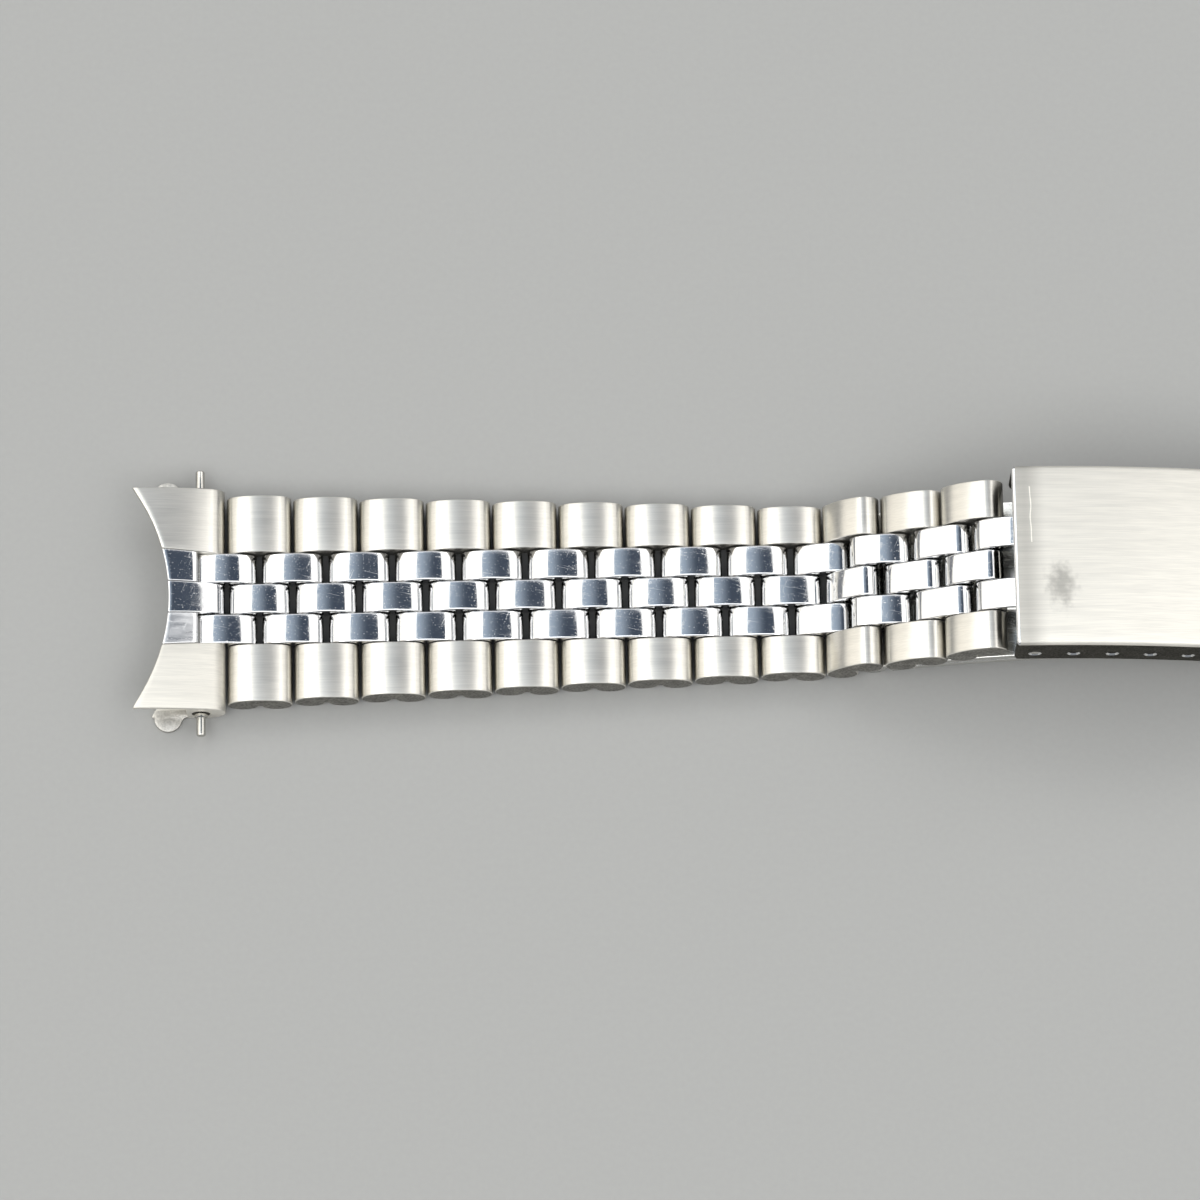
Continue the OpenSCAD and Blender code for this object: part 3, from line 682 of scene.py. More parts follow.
class EndPiece:
    """The formed sheet of one end piece, drawn with the spring bar at the middle and the case at the left."""

    def __init__(self, half):
        self.sizes = sizes = bpy.context.scene.bracelet_ends
        self.bar = pivot(f"{half}_end")
        self.mirror = 1 if half == "long" else -1
        # The bend's circle touches the top's arc, the underside and the overhang: a quadratic gives its radius
        run = sizes.reach + sizes.overhang
        b = 2 * sizes.top_radius - sizes.height - run
        c = run ** 2 - 2 * sizes.top_radius * sizes.height + sizes.height ** 2
        self.bend_r = -b + math.sqrt(b * b - c)
        self.bend = Vector((sizes.overhang - self.bend_r, self.bend_r))
        self.arc = Vector((-sizes.reach, sizes.height - sizes.top_radius))
        self.touch = angle_of(self.arc, self.bend)
        tip = sizes.lug_width / 2 - sizes.tip_flat
        self.case_x = -sizes.reach - math.sqrt(sizes.case_radius ** 2 - tip ** 2)

    def put(self, x, y, z):
        """A point of this drawing in the frame."""
        return (self.bar.x + self.mirror * x, y, z)

    def case_edge(self, y):
        """Where the side against the case lies at y."""
        room = self.sizes.case_radius ** 2 - y ** 2
        return max(-self.sizes.reach, self.case_x + math.sqrt(max(room, 0.0)))

    def top(self, x, inset=0.0):
        """Height of the top skin at x, or of the bend past the end of the arc."""
        r = self.sizes.top_radius - inset
        if x < self.arc.x + r * math.sin(self.touch):
            return self.arc.y + math.sqrt(r * r - (x - self.arc.x) ** 2)
        r = self.bend_r - inset
        return self.bend.y + math.sqrt(max(0.0, r * r - (x - self.bend.x) ** 2))

    def row_line(self, x, line):
        """The line between two rows at x, so many row pitches from the middle. It flares towards the case."""
        pitch = bpy.context.scene.bracelet_links.row_pitch
        if abs(line) == LUG_LINE:
            return math.copysign(self.sizes.lug_width / 2, line)
        return line * pitch - x * math.tan(self.sizes.flare * line)

    def domed(self, y):
        """How much of its height the piece keeps at y: it falls a little towards the lugs."""
        rows = OUTER_LINE * bpy.context.scene.bracelet_links.row_pitch
        out = max(0.0, abs(y) - rows) / (self.sizes.lug_width / 2 - rows)
        return 1 - self.sizes.dome * out * out

    def broken(self, x, way, inset):
        """The broken edge of the top skin at x, whose skin lies to the right (1) or the left (-1)."""
        c, top = self.sizes.edge, self.top(x, inset)
        return [(x, top - c), (x + 0.3 * c * way, top - 0.3 * c)][::way]

    def shell(self, edge_x, inset):
        """Section of a brushed or middle row: skin, bend and the knuckle round the spring bar."""
        s, t = self.sizes, self.sizes.sheet
        x0, back = edge_x + inset, -s.knuckle_back + inset
        x2 = min(x0 + s.low_back, back - 2 * t)
        arc_end = self.arc.x + (s.top_radius - inset) * math.sin(self.touch)
        over = [(x, self.top(x, inset)) for x in span(x0 + s.edge, arc_end, TOP_POINTS)]
        bend = [tuple(polar(self.bend, self.bend_r - inset, a))
                for a in span(self.touch, math.pi, BEND_POINTS)[1:]]
        under = [(x, inset) for x in span(self.bend.x, x2, SKIN_POINTS)[1:]]
        inside_low = [(x, t - inset) for x in span(x2, back, SKIN_POINTS)]
        inside_high = [(x, self.top(x, t - inset)) for x in span(back, x0, SKIN_POINTS)]
        return self.broken(x0, 1, inset) + over + bend + under + inside_low + inside_high

    def top_plate(self, edge_x, inset):
        """Section of the top skin over a bead."""
        t, c = self.sizes.sheet, self.sizes.edge
        x0, x1 = edge_x + inset, -self.sizes.skin_edge - inset
        over = [(x, self.top(x, inset)) for x in span(x0 + c, x1 - c, PLATE_POINTS)]
        below = [(x, self.top(x, t - inset)) for x in span(x1, x0, PLATE_POINTS)]
        return self.broken(x0, 1, inset) + over + self.broken(x1, -1, inset) + below

    def low_plate(self, edge_x, inset):
        """Section of the lower skin under a bead."""
        x1, t = -self.sizes.bead_room - inset, self.sizes.sheet
        x0 = min(edge_x + inset + self.sizes.low_back, x1 - t)
        run = span(x1, x0, LOW_POINTS)
        return [(x, inset) for x in run] + [(x, t - inset) for x in reversed(run)]

    def row(self, shape, section, low, high, finish):
        """Lofts a section from one row line to the next."""
        edge, gap = self.sizes.row_edge, self.sizes.row_seam / 2
        places = [(inset, depth, 0.0) for inset, depth in rims(edge)]
        places += [(0.0, 0.0, v) for v in span(0, 1, ROW_RINGS)[1:-1]]
        places += [(inset, -depth, 1.0) for inset, depth in reversed(rims(edge))]
        rings = []
        for inset, depth, v in places:

            def across(x):
                """Where this ring lies at x."""
                y0, y1 = self.row_line(x, low) + gap, self.row_line(x, high) - gap
                if v in (0.0, 1.0):
                    return (y0 if v == 0.0 else y1) + depth
                return y0 + edge + v * (y1 - y0 - 2 * edge)

            # A second look, as the place of a flaring line depends on x
            edge_x = self.case_edge(across(-self.sizes.reach / 2))
            edge_x = self.case_edge(across(edge_x))
            rings.append([self.put(x, across(x), z * self.domed(across(x))) for x, z in section(edge_x, inset)])
        shape.loft(rings, finish, finish)

    def ear(self, shape, side, finish):
        """Rounded ear of the lower skin, with a fillet on its inner side."""
        s = self.sizes
        r, f = s.ear_width / 2, s.ear_fillet
        edge = s.lug_width / 2
        c = Vector((-s.reach / 2, edge + s.ear_out - r))
        drop = edge + f - c.y
        fillet = Vector((c.x + math.sqrt((r + f) ** 2 - drop ** 2), edge + f))
        meet = angle_of(c, fillet)
        rings = []
        for inset, z in both_rims(s.row_seam / 6, s.sheet - s.row_seam / 6, 0.06 * MM, 2):
            outline = [Vector((c.x - r + inset, edge - f))]
            outline += [polar(c, r - inset, a) for a in span(-math.pi / 2, meet, 18)]
            outline += [polar(fillet, f + inset, a) for a in span(meet + math.pi, math.pi, 8)]
            outline += [Vector((fillet.x, edge - f))]
            rings.append([self.put(p.x, side * p.y, z) for p in outline])
        shape.loft(rings, finish, finish)


class BRACELET_OT_end_pieces(bpy.types.Operator):
    """Builds both end pieces from formed sheet, with three polished rows between two brushed ones"""
    bl_idname = "bracelet.end_pieces"
    bl_label = "Build End Pieces"

    def execute(self, context):
        sizes = context.scene.bracelet_ends
        r, out = sizes.bore_radius, sizes.lug_width
        brushed, polished, sheared, rubbed, worn_and_lit = range(5)
        for half in HALVES:
            form, rest = EndPiece(half), Shape()
            finishes = materials("brushed", "polished", "sheared", "rubbed", "worn_and_lit")
            # The near rows of the long end piece are rubbed dull and worn; the near brushed row is also brighter
            # with painted light
            near, near_outer = (rubbed, worn_and_lit) if half == "long" else (polished, brushed)
            for low, high, finish in ((-OUTER_LINE, -INNER_LINE, near), (INNER_LINE, OUTER_LINE, polished)):
                form.row(rest, form.top_plate, low, high, finish)
                form.row(rest, form.low_plate, low, high, brushed)
            for side in (-1, 1):
                form.ear(rest, side, sheared)
            piece = mesh_object(f"{half}_end_piece_sheet", rest, finishes)
            for low, high, finish in ((-LUG_LINE, -OUTER_LINE, near_outer), (-INNER_LINE, INNER_LINE, polished),
                                      (OUTER_LINE, LUG_LINE, brushed)):
                shape, bore = Shape(), Shape()
                form.row(shape, form.shell, low, high, finish)
                bore.turned(form.bar, [(r, -out), (r, out)], sheared, turns=48, cap=sheared)
                join(piece, cut(mesh_object("row", shape, finishes), bore))
            hand_over(piece, f"{half}_end_piece")
        return {"FINISHED"}


# Spring bars

# Steps round a turn of a coil spring, and sides of its wire
COIL_STEPS, WIRE_SIDES = 18, 6


def bar_point(half):
    """Where a spring bar runs: the clasp's, or the one in the end piece of a half."""
    return first_bar() if half == "clasp" else pivot(f"{half}_end")


def coil(shape, centre, half, radius, wire, pitch, finish):
    """A helical spring along Y."""
    turns = int(2 * half / pitch)
    count = turns * COIL_STEPS
    rings = []
    for i in range(count + 1):
        a = math.tau * turns * i / count
        y = -half + wire + (2 * half - 2 * wire) * i / count
        out = Vector((math.sin(a), 0, math.cos(a)))
        spine = Vector((centre.x, y, centre.y)) + radius * out
        rings.append([spine + wire * (math.cos(b) * out + math.sin(b) * Vector((0, 1, 0)))
                      for b in span(0, math.tau, WIRE_SIDES + 1)[:-1]])
    shape.loft(rings, finish, finish)


class BRACELET_OT_spring_bars(bpy.types.Operator):
    """Builds the three spring bars: tubes with crimped ends, coil springs and sliding tips"""
    bl_idname = "bracelet.spring_bars"
    bl_label = "Build Spring Bars"

    def execute(self, context):
        for bar in BARS:
            point, tube = bar_point(bar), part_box(f"{bar}_bar_tube")[1].y
            self.sleeve(bar, point, tube)
            self.spring(bar, point)
            for where, side in (("near", -1), ("far", 1)):
                self.plunger(bar, point, tube, where, side)
        return {"FINISHED"}

    @staticmethod
    def sleeve(bar, point, tube):
        """The tube, as long on each side as tube, with crimped ends that hold the tips' heads."""
        sizes, shape = bpy.context.scene.bracelet_bars, Shape()
        r, c = sizes.tube_radius, sizes.broken
        neck, bore = sizes.neck_radius + sizes.fit, sizes.tube_radius - sizes.wall
        outside = [(neck, tube), (r - 2.2 * c, tube), (r - 0.7 * c, tube - 0.6 * c), (r, tube - 2.4 * c)]
        inside = [(neck, tube - sizes.crimp), (bore, tube - sizes.crimp)]
        shape.turned(point, [(q, -y) for q, y in reversed(inside)] + [(q, -y) for q, y in outside]
                     + [(q, y) for q, y in reversed(outside)] + inside, 0, turns=48, looped=True)
        hand_over(mesh_object(f"{bar}_bar_sleeve", shape, materials("turned")), f"{bar}_bar_tube")

    @staticmethod
    def spring(bar, point):
        """The coil spring between the heads."""
        sizes, shape = bpy.context.scene.bracelet_bars, Shape()
        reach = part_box(f"{bar}_bar_spring")[1].y
        coil(shape, point, reach, sizes.head_radius - sizes.wire, sizes.wire, sizes.coil_pitch, 0)
        hand_over(mesh_object(f"{bar}_bar_coil", shape, materials("wire")), f"{bar}_bar_spring")

    @staticmethod
    def plunger(bar, point, tube, where, side):
        """A sliding tip: its head in the tube, the neck through the crimp, the flange and the rounded nose."""
        sizes, shape = bpy.context.scene.bracelet_bars, Shape()
        inner, outer = sorted(abs(corner.y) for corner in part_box(f"{bar}_bar_tip_{where}"))
        travel, step = (sizes.clasp_travel, sizes.clasp_step) if bar == "clasp" else (sizes.tip_travel, 0)
        flange = tube + sizes.fit + travel
        shoulder, tip_r = flange + sizes.flange, sizes.tip_radius - step
        f, h, neck = sizes.flange_radius, sizes.head_radius, sizes.neck_radius
        c, nose = sizes.broken, sizes.nose
        profile = [(h - 0.5 * c, inner), (h, inner + 0.5 * c), (h, inner + sizes.head - 0.5 * c),
                   (h - 0.5 * c, inner + sizes.head), (neck, inner + sizes.head), (neck, flange),
                   (f - 0.6 * c, flange), (f, flange + 0.6 * c), (f, shoulder - 0.6 * c),
                   (f - 0.6 * c, shoulder), (tip_r + 0.2 * c, shoulder), (tip_r, shoulder + 0.3 * c),
                   (tip_r, outer - 1.6 * nose), (tip_r - 0.3 * nose, outer - 0.7 * nose),
                   (tip_r - nose, outer - 0.15 * nose), (tip_r - 1.6 * nose, outer)]
        shape.turned(point, [(q, side * y) for q, y in profile], 0, cap=0)
        # The flange's small steps stay crisp
        hand_over(mesh_object(f"{bar}_bar_plunger_{where}", shape, materials("turned"), sharp=28),
                  f"{bar}_bar_tip_{where}")


# Clasp

class Clasp:
    """Places that the clasp's pieces share."""

    def __init__(self):
        s = bpy.context.scene.bracelet_clasp
        low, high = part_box("clasp_cover")
        self.half = high.y
        self.inner = self.half - s.sheet
        self.cover = Vector((low.x + s.apex, high.z - s.cover_radius))
        self.first = -math.asin(s.apex / s.cover_radius)
        self.last = math.asin((s.cover_length - s.apex) / s.cover_radius)
        self.fold, self.hinge = hinge("fold_hinge"), hinge("cover_hinge")
        self.attach = pivot(chain("short")[0][0])
        self.blades = meeting(self.fold, s.blade_radius, self.hinge, s.blade_radius + s.knuckle_radius)
        self.blade_half = self.inner - s.side_gap


# Points of the section before its rounded long edge, rings in a rounded end, and rings between the ends
WALL_POINTS, RIM_STEPS, COVER_RINGS = 15, 4, 42
# The cover's finishes: its brushed top, its walls and inside, and its polished rims
TOP, WALLS, RIMS = range(3)


def cover_section(form, inset):
    """Outline of the cover's channel, as (radius, y) from the near inner corner round the outside."""
    s = bpy.context.scene.bracelet_clasp
    r, half, inner = s.cover_radius - inset, form.half - inset, form.inner + inset
    low, top = s.cover_radius - s.cover_height + inset, s.cover_radius - s.sheet + inset
    edge, fillet = max(s.cover_edge - inset, s.cover_edge / 8), s.cover_fillet
    # The broken edges of a wall's foot don't meet where a rounded end narrows it
    foot = min(s.cover_foot, 0.4 * (half - inner))
    points = [(top, -inner + fillet), (top - 0.3 * fillet, -inner + 0.3 * fillet), (top - fillet, -inner)]
    points += [(x, -inner) for x in span(top - fillet, low + foot, 6)[1:]]
    points += [(low, -inner - foot), (low, -half + foot)]
    points += [(x, -half) for x in span(low + foot, r - edge, 6)]
    points += [(r - edge + edge * math.sin(a), -half + edge - edge * math.cos(a))
               for a in span(0, math.pi / 2, 7)[1:]]
    points += [(r, y) for y in span(-half + edge, 0, 8)[1:]]
    return points + [(x, -y) for x, y in reversed(points[:-1])]


class BRACELET_OT_cover(bpy.types.Operator):
    """Builds the clasp's cover, a formed channel with its adjusting holes and snap bumps"""
    bl_idname = "bracelet.cover"
    bl_label = "Build Clasp Cover"

    def execute(self, context):
        s, form, shape = context.scene.bracelet_clasp, Clasp(), Shape()
        edge, r = s.end_edge, s.cover_radius
        places = [(inset, form.first + depth / r) for inset, depth in rims(edge, RIM_STEPS)]
        places += [(0.0, a) for a in span(form.first + edge / r, form.last - edge / r, COVER_RINGS)[1:-1]]
        places += [(inset, form.last - depth / r) for inset, depth in reversed(rims(edge, RIM_STEPS))]
        for inset, a in places:
            points = cover_section(form, inset)
            ring = [(*polar(form.cover, q, a), y) for q, y in points]
            shape.points += [(x, y, z) for x, z, y in ring]
        n, strips = len(points), len(places) - 1
        shape.dirt_and_shade = [0.0] * len(shape.points)
        for i in range(strips):
            for j in range(n):
                k = (j + 1) % n
                top = WALL_POINTS <= j and k <= n - 1 - WALL_POINTS
                rim = i < RIM_STEPS or i >= strips - RIM_STEPS
                shape.faces.append((i * n + j, i * n + k, (i + 1) * n + k, (i + 1) * n + j))
                shape.finishes.append(WALLS if not top or k == 0 else RIMS if rim else TOP)
        shape.faces += [tuple(range(n - 1, -1, -1)), tuple(range(strips * n, strips * n + n))]
        shape.finishes += [RIMS, RIMS]
        finishes = materials("handled_and_lit", "walls", "polished")
        piece = cut(mesh_object("clasp_cover_channel", shape, finishes), self.holes(form))
        join(piece, mesh_object("bumps", self.bumps(form), finishes))
        hand_over(piece, "clasp_cover")
        return {"FINISHED"}

    @staticmethod
    def holes(form):
        """The adjusting holes and the hinge's holes, sunk from outside."""
        s, shape = bpy.context.scene.bracelet_clasp, Shape()
        hole_r, first, sink = (first_bar() - form.cover).length, angle_of(form.cover, first_bar()), s.hole_sink
        spots = [(polar(form.cover, hole_r, first + i * s.hole_pitch / hole_r), s.hole_radius)
                 for i in range(s.holes)] + [(form.hinge, s.pin_radius + 0.01 * MM)]
        for spot, r in spots:
            for side in (-1, 1):
                profile = [(r, form.inner - 0.5 * MM), (r, form.half - sink), (r + sink, form.half),
                           (r + 2 * sink, form.half + sink)]
                shape.turned(spot, [(q, side * y) for q, y in profile], [WALLS, RIMS, RIMS], turns=36,
                             cap=WALLS)
        return shape

    @staticmethod
    def bumps(form):
        """The two bumps inside the walls that the blades snap past, with their roots in the walls."""
        s, shape, root = bpy.context.scene.bracelet_clasp, Shape(), 0.1 * MM
        spot = polar(form.cover, s.cover_radius - s.cover_height + s.snap_radius + s.snap_lip,
                     form.last * s.snap_along)
        dome = [(s.snap_radius * math.cos(t), form.inner + root - (s.snap_out + root) * math.sin(t))
                for t in span(0, math.pi / 2 * 0.95, 8)]
        for side in (-1, 1):
            shape.turned(spot, [(q, side * y) for q, y in dome], WALLS, turns=32, cap=WALLS)
        return shape


# Points along a blade, and a distance or angle that lies well past it
BLADE_POINTS, PAST = 49, 1


def strip(shape, form, r0, r1, a0, a1, cuts):
    """A curved blade from angle a0 to a1, without the cut rectangles (a from, a to, y from, y to)."""
    half = form.blade_half
    angles = sorted(set(span(a0, a1, BLADE_POINTS)) | {a for c in cuts for a in c[:2] if a0 < a < a1})
    ys = sorted({-half, half} | {y for c in cuts for y in c[2:] if -half < y < half})

    def kept(i, j):
        """Whether a cell of the grid is part of the blade."""
        if not (0 <= i < len(angles) - 1 and 0 <= j < len(ys) - 1):
            return False
        a, y = (angles[i] + angles[i + 1]) / 2, (ys[j] + ys[j + 1]) / 2
        return not any(c[0] < a < c[1] and c[2] < y < c[3] for c in cuts)

    index = {}

    def corner(i, j, k):
        """The point at a corner of the grid on the inner (0) or outer (1) face, made once."""
        if (i, j, k) not in index:
            index[i, j, k] = len(shape.points)
            p = polar(form.blades, (r0, r1)[k], angles[i])
            shape.points.append((p.x, ys[j], p.y))
            shape.dirt_and_shade.append(0.0)
        return index[i, j, k]

    for i in range(len(angles) - 1):
        for j in range(len(ys) - 1):
            if not kept(i, j):
                continue
            faces = [[(i, j, 0), (i, j + 1, 0), (i + 1, j + 1, 0), (i + 1, j, 0)],
                     [(i, j, 1), (i + 1, j, 1), (i + 1, j + 1, 1), (i, j + 1, 1)]]
            for di, dj, a, b in ((-1, 0, (i, j), (i, j + 1)), (1, 0, (i + 1, j + 1), (i + 1, j)),
                                 (0, -1, (i + 1, j), (i, j)), (0, 1, (i, j + 1), (i + 1, j + 1))):
                if not kept(i + di, j + dj):
                    faces.append([(*a, 0), (*a, 1), (*b, 1), (*b, 0)])
            shape.faces += [tuple(corner(*p) for p in face) for face in faces]
            shape.finishes += [0] * len(faces)


def knuckle(shape, point, outer, bore, y0, y1):
    """A rolled knuckle with its bore and broken edges."""
    edge = bpy.context.scene.bracelet_clasp.knuckle_edge
    e = edge / 3
    shape.turned(point, [(bore, y0), (outer - edge, y0), (outer - e, y0 + e), (outer, y0 + edge),
                         (outer, y1 - edge), (outer - e, y1 - e), (outer - edge, y1), (bore, y1)],
                 0, looped=True)


def blade(name, plate, knuckles):
    """A blade from its strip and its knuckles."""
    sheet = rounded(mesh_object(f"{name}_strip", plate, materials("rolled")),
                    bpy.context.scene.bracelet_clasp.blade_edge)
    join(sheet, mesh_object("knuckles", knuckles, materials("rolled")))
    hand_over(sheet, name)


class BRACELET_OT_blades(bpy.types.Operator):
    """Builds the two folding blades with their knuckles"""
    bl_idname = "bracelet.blades"
    bl_label = "Build Blades"

    def execute(self, context):
        s, links, form = context.scene.bracelet_clasp, context.scene.bracelet_links, Clasp()
        fold_a, hinge_a, attach_a = (angle_of(form.blades, p) for p in (form.fold, form.hinge, form.attach))
        inner_r = (link_pitch() - links.inner_gap) / 2
        knuckle_half, split, gap = form.blade_half - s.knuckle_back, s.fold_split, links.row_gap
        fold_clear = (s.fold_radius + s.knuckle_room) / s.blade_radius
        plate, knuckles, bore = Shape(), Shape(), s.pin_radius + s.run_fit
        r0 = s.blade_radius + s.blade_gap / 2
        strip(plate, form, r0, r0 + s.blade_sheet, fold_a, hinge_a,
              [(fold_a - PAST, fold_a + fold_clear, -split - gap, split + gap)])
        for side in (-1, 1):
            ends = sorted((side * (split + gap), side * knuckle_half))
            knuckle(knuckles, form.fold, s.fold_radius, bore, *ends)
        knuckle(knuckles, form.hinge, s.knuckle_radius, bore, -knuckle_half, knuckle_half)
        blade("upper_blade", plate, knuckles)
        plate, knuckles, bore = Shape(), Shape(), s.pin_radius
        r0 = s.blade_radius - s.blade_gap / 2 - s.blade_sheet
        attach_clear = (inner_r + s.knuckle_room) / s.blade_radius
        cuts = []
        for side in (-1, 1):
            cuts.append((fold_a - PAST, fold_a + fold_clear, *sorted((side * split, side * PAST))))
            rows = sorted((side * links.row_pitch / 2, side * 1.5 * links.row_pitch))
            cuts.append((attach_a - attach_clear, attach_a + PAST, *rows))
        strip(plate, form, r0, r0 + s.blade_sheet, fold_a, attach_a, cuts)
        knuckle(knuckles, form.fold, s.fold_radius, bore, -split, split)
        knuckle(knuckles, form.attach, inner_r, bore, *row_edges(0))
        for side in (-1, 1):
            ends = sorted((side * outer_face(), side * knuckle_half))
            knuckle(knuckles, form.attach, inner_r, bore, *ends)
        blade("lower_blade", plate, knuckles)
        return {"FINISHED"}


class BRACELET_OT_hinge_pins(bpy.types.Operator):
    """Builds the clasp's three hinge pins, with domed ends"""
    bl_idname = "bracelet.hinge_pins"
    bl_label = "Build Hinge Pins"

    def execute(self, context):
        s, form = context.scene.bracelet_clasp, Clasp()
        for node, point in (("cover_hinge_pin", form.hinge), ("fold_hinge_pin", form.fold),
                            ("attaching_pin", form.attach)):
            shape = Shape()
            pin_rod(shape, point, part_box(node)[1].y, s.pin_radius, 0)
            hand_over(mesh_object(f"{node}_rod", shape, materials("turned")), node)
        return {"FINISHED"}


# Studio

class BRACELET_OT_studio(bpy.types.Operator):
    """Sets up the floor, the soft lights and the camera"""
    bl_idname = "bracelet.studio"
    bl_label = "Set Up Studio"

    def execute(self, context):
        stage, scene = context.scene.bracelet_stage, context.scene
        self.floor(scene, stage)
        self.room(scene, stage)
        for name, start, end, radiance, tint in (
                ("softbox_left", stage.left_from, stage.left_to, stage.left_strength, stage.left_tint),
                ("softbox_right", stage.right_from, stage.right_to, stage.right_strength, stage.right_tint)):
            middle = (start + end) / 2
            self.softbox(scene, name, start, middle, radiance, tint)
            self.softbox(scene, f"{name}_low", middle, end, radiance * stage.low_share, tint)
        self.strip_light(scene, "softbox_front", -1, stage.front_low, stage.front_high, stage.front_strength)
        self.strip_light(scene, "softbox_back", 1, stage.back_low, stage.back_high, stage.back_strength)
        camera = bpy.data.cameras.new("photo_camera")
        camera.sensor_width, camera.lens = 36.0, stage.lens
        camera.clip_start, camera.clip_end = 0.01, 20
        viewer = bpy.data.objects.new("photo_camera", camera)
        viewer.location = Vector(stage.camera_place)
        viewer.rotation_euler = Euler(stage.camera_turn, "XYZ")
        scene.collection.objects.link(viewer)
        scene.camera = viewer
        scene.view_settings.view_transform = "Standard"
        return {"FINISHED"}

    @staticmethod
    def floor(scene, stage):
        """A wide sheet of matt paper, whose fibres make it a little uneven."""
        mesh = bpy.data.meshes.new("studio_floor")
        r = stage.floor_size / 2
        mesh.from_pydata([(-r, -r, 0), (r, -r, 0), (r, r, 0), (-r, r, 0)], [], [(0, 1, 2, 3)])
        paper = bpy.data.materials.new("matt_paper")
        paper.use_nodes = True
        tree = paper.node_tree
        place = add(tree, "ShaderNodeTexCoord").outputs["Object"]
        fibre = add(tree, "ShaderNodeTexNoise", {"Vector": place, "Scale": 1 / (0.5 * MM), "Detail": 3.0})
        tone = add(tree, "ShaderNodeMapRange", {"Value": fibre, "To Min": 0.93, "To Max": 1.0})
        feed(tree, tree.nodes["Principled BSDF"], {"Base Color": shaded(tree, stage.floor_colour, tone),
                                                   "Roughness": 0.85})
        mesh.materials.append(paper)
        floor = bpy.data.objects.new("studio_floor", mesh)
        scene.collection.objects.link(floor)

    @staticmethod
    def room(scene, stage):
        """The room that the steel mirrors: a ceiling that darkens from left to right, and light walls."""
        world = bpy.data.worlds.new("studio_room")
        world.use_nodes = True
        tree = world.node_tree
        way = add(tree, "ShaderNodeSeparateXYZ", {0: add(tree, "ShaderNodeTexCoord").outputs["Generated"]})
        over = add(tree, "ShaderNodeMapRange", {"Value": way.outputs["X"], "From Min": -0.25, "From Max": 0.2},
                   interpolation_type="SMOOTHSTEP")
        # A mix of colours takes them at its inputs 6 and 7, and gives its result at output 2
        ceiling = add(tree, "ShaderNodeMix", {0: over, 6: (*stage.ceiling_left, 1),
                                              7: (*stage.ceiling_right, 1)}, data_type="RGBA")
        height = add(tree, "ShaderNodeMapRange", {"Value": way.outputs["Z"], "From Min": stage.walls_top,
                                                  "From Max": stage.gap_start}, interpolation_type="SMOOTHSTEP")
        tint = add(tree, "ShaderNodeMix", {0: height, 6: (*stage.wall_colour, 1),
                                           7: ceiling.outputs[2]}, data_type="RGBA")
        feed(tree, tree.nodes["Background"], {"Color": tint.outputs[2], "Strength": stage.room_strength})
        scene.world = world

    @staticmethod
    def lamp(scene, name, wide, deep, place, turn, radiance, tint=(1.0, 1.0, 1.0)):
        """A rectangular area light that looks as bright at any size."""
        light = bpy.data.lights.new(name, "AREA")
        light.shape, light.size, light.size_y = "RECTANGLE", wide, deep
        light.energy, light.color = radiance * math.pi * wide * deep, tint
        lamp = bpy.data.objects.new(name, light)
        lamp.location, lamp.rotation_euler = place, turn
        scene.collection.objects.link(lamp)

    @classmethod
    def softbox(cls, scene, name, start, end, radiance, tint, distance=1.6, deep=3.0):
        """A softbox to the left or right, between two angles from overhead as seen from the origin."""
        wide, lean = 2 * distance * math.tan(abs(end - start) / 2), (start + end) / 2
        place = (distance * math.sin(lean), 0, distance * math.cos(lean))
        cls.lamp(scene, name, wide, deep, place, (0, lean, 0), radiance, tint)

    @classmethod
    def strip_light(cls, scene, name, side, low, high, radiance, distance=1.8, wide=2.6):
        """A long softbox in front (-1) or behind (1), between two angles above the floor."""
        tall, rise = 2 * distance * math.tan((high - low) / 2), (low + high) / 2
        place = (0, side * distance * math.cos(rise), distance * math.sin(rise))
        cls.lamp(scene, name, wide, tall, place, (-side * (math.pi / 2 - rise), 0, 0), radiance)


# Settings

class LinkSettings(bpy.types.PropertyGroup):
    """Sizes of the links, the bead pairs and their pins"""
    row_pitch: length("Row pitch", "Distance between the three polished rows", 2.75)
    row_gap: length("Row gap", "Gap between two rows", 0.08)
    outer_gap: length("Outer gap", "Gap between the round ends of two outer links", 0.15)
    inner_gap: length("Inner gap", "Gap between the round ends of two polished links", 0.4)
    outer_crown: length("Outer crown", "Radius of the arc over the top of an outer link", 6.4)
    inner_crown: length("Inner crown", "Radius of the arc over the top of a polished link", 7.1)
    notch: length("Notch", "How far under the pins the notch between a link's two lobes stops", 0.3)
    outer_edge: length("Outer edge", "Radius of the long edges of an outer link", 0.1)
    inner_edge: length("Polished edge", "Radius of the long edges of a polished link", 0.17)
    hand_tilt: angle("Hand tilt", "Most that a crown slopes from hand polishing", 1.6)
    pin_radius: length("Pin radius", "Radius of the link pins", 0.5)
    pin_depth: length("Pin depth", "How deep a pin goes into an outer link", 1.8)


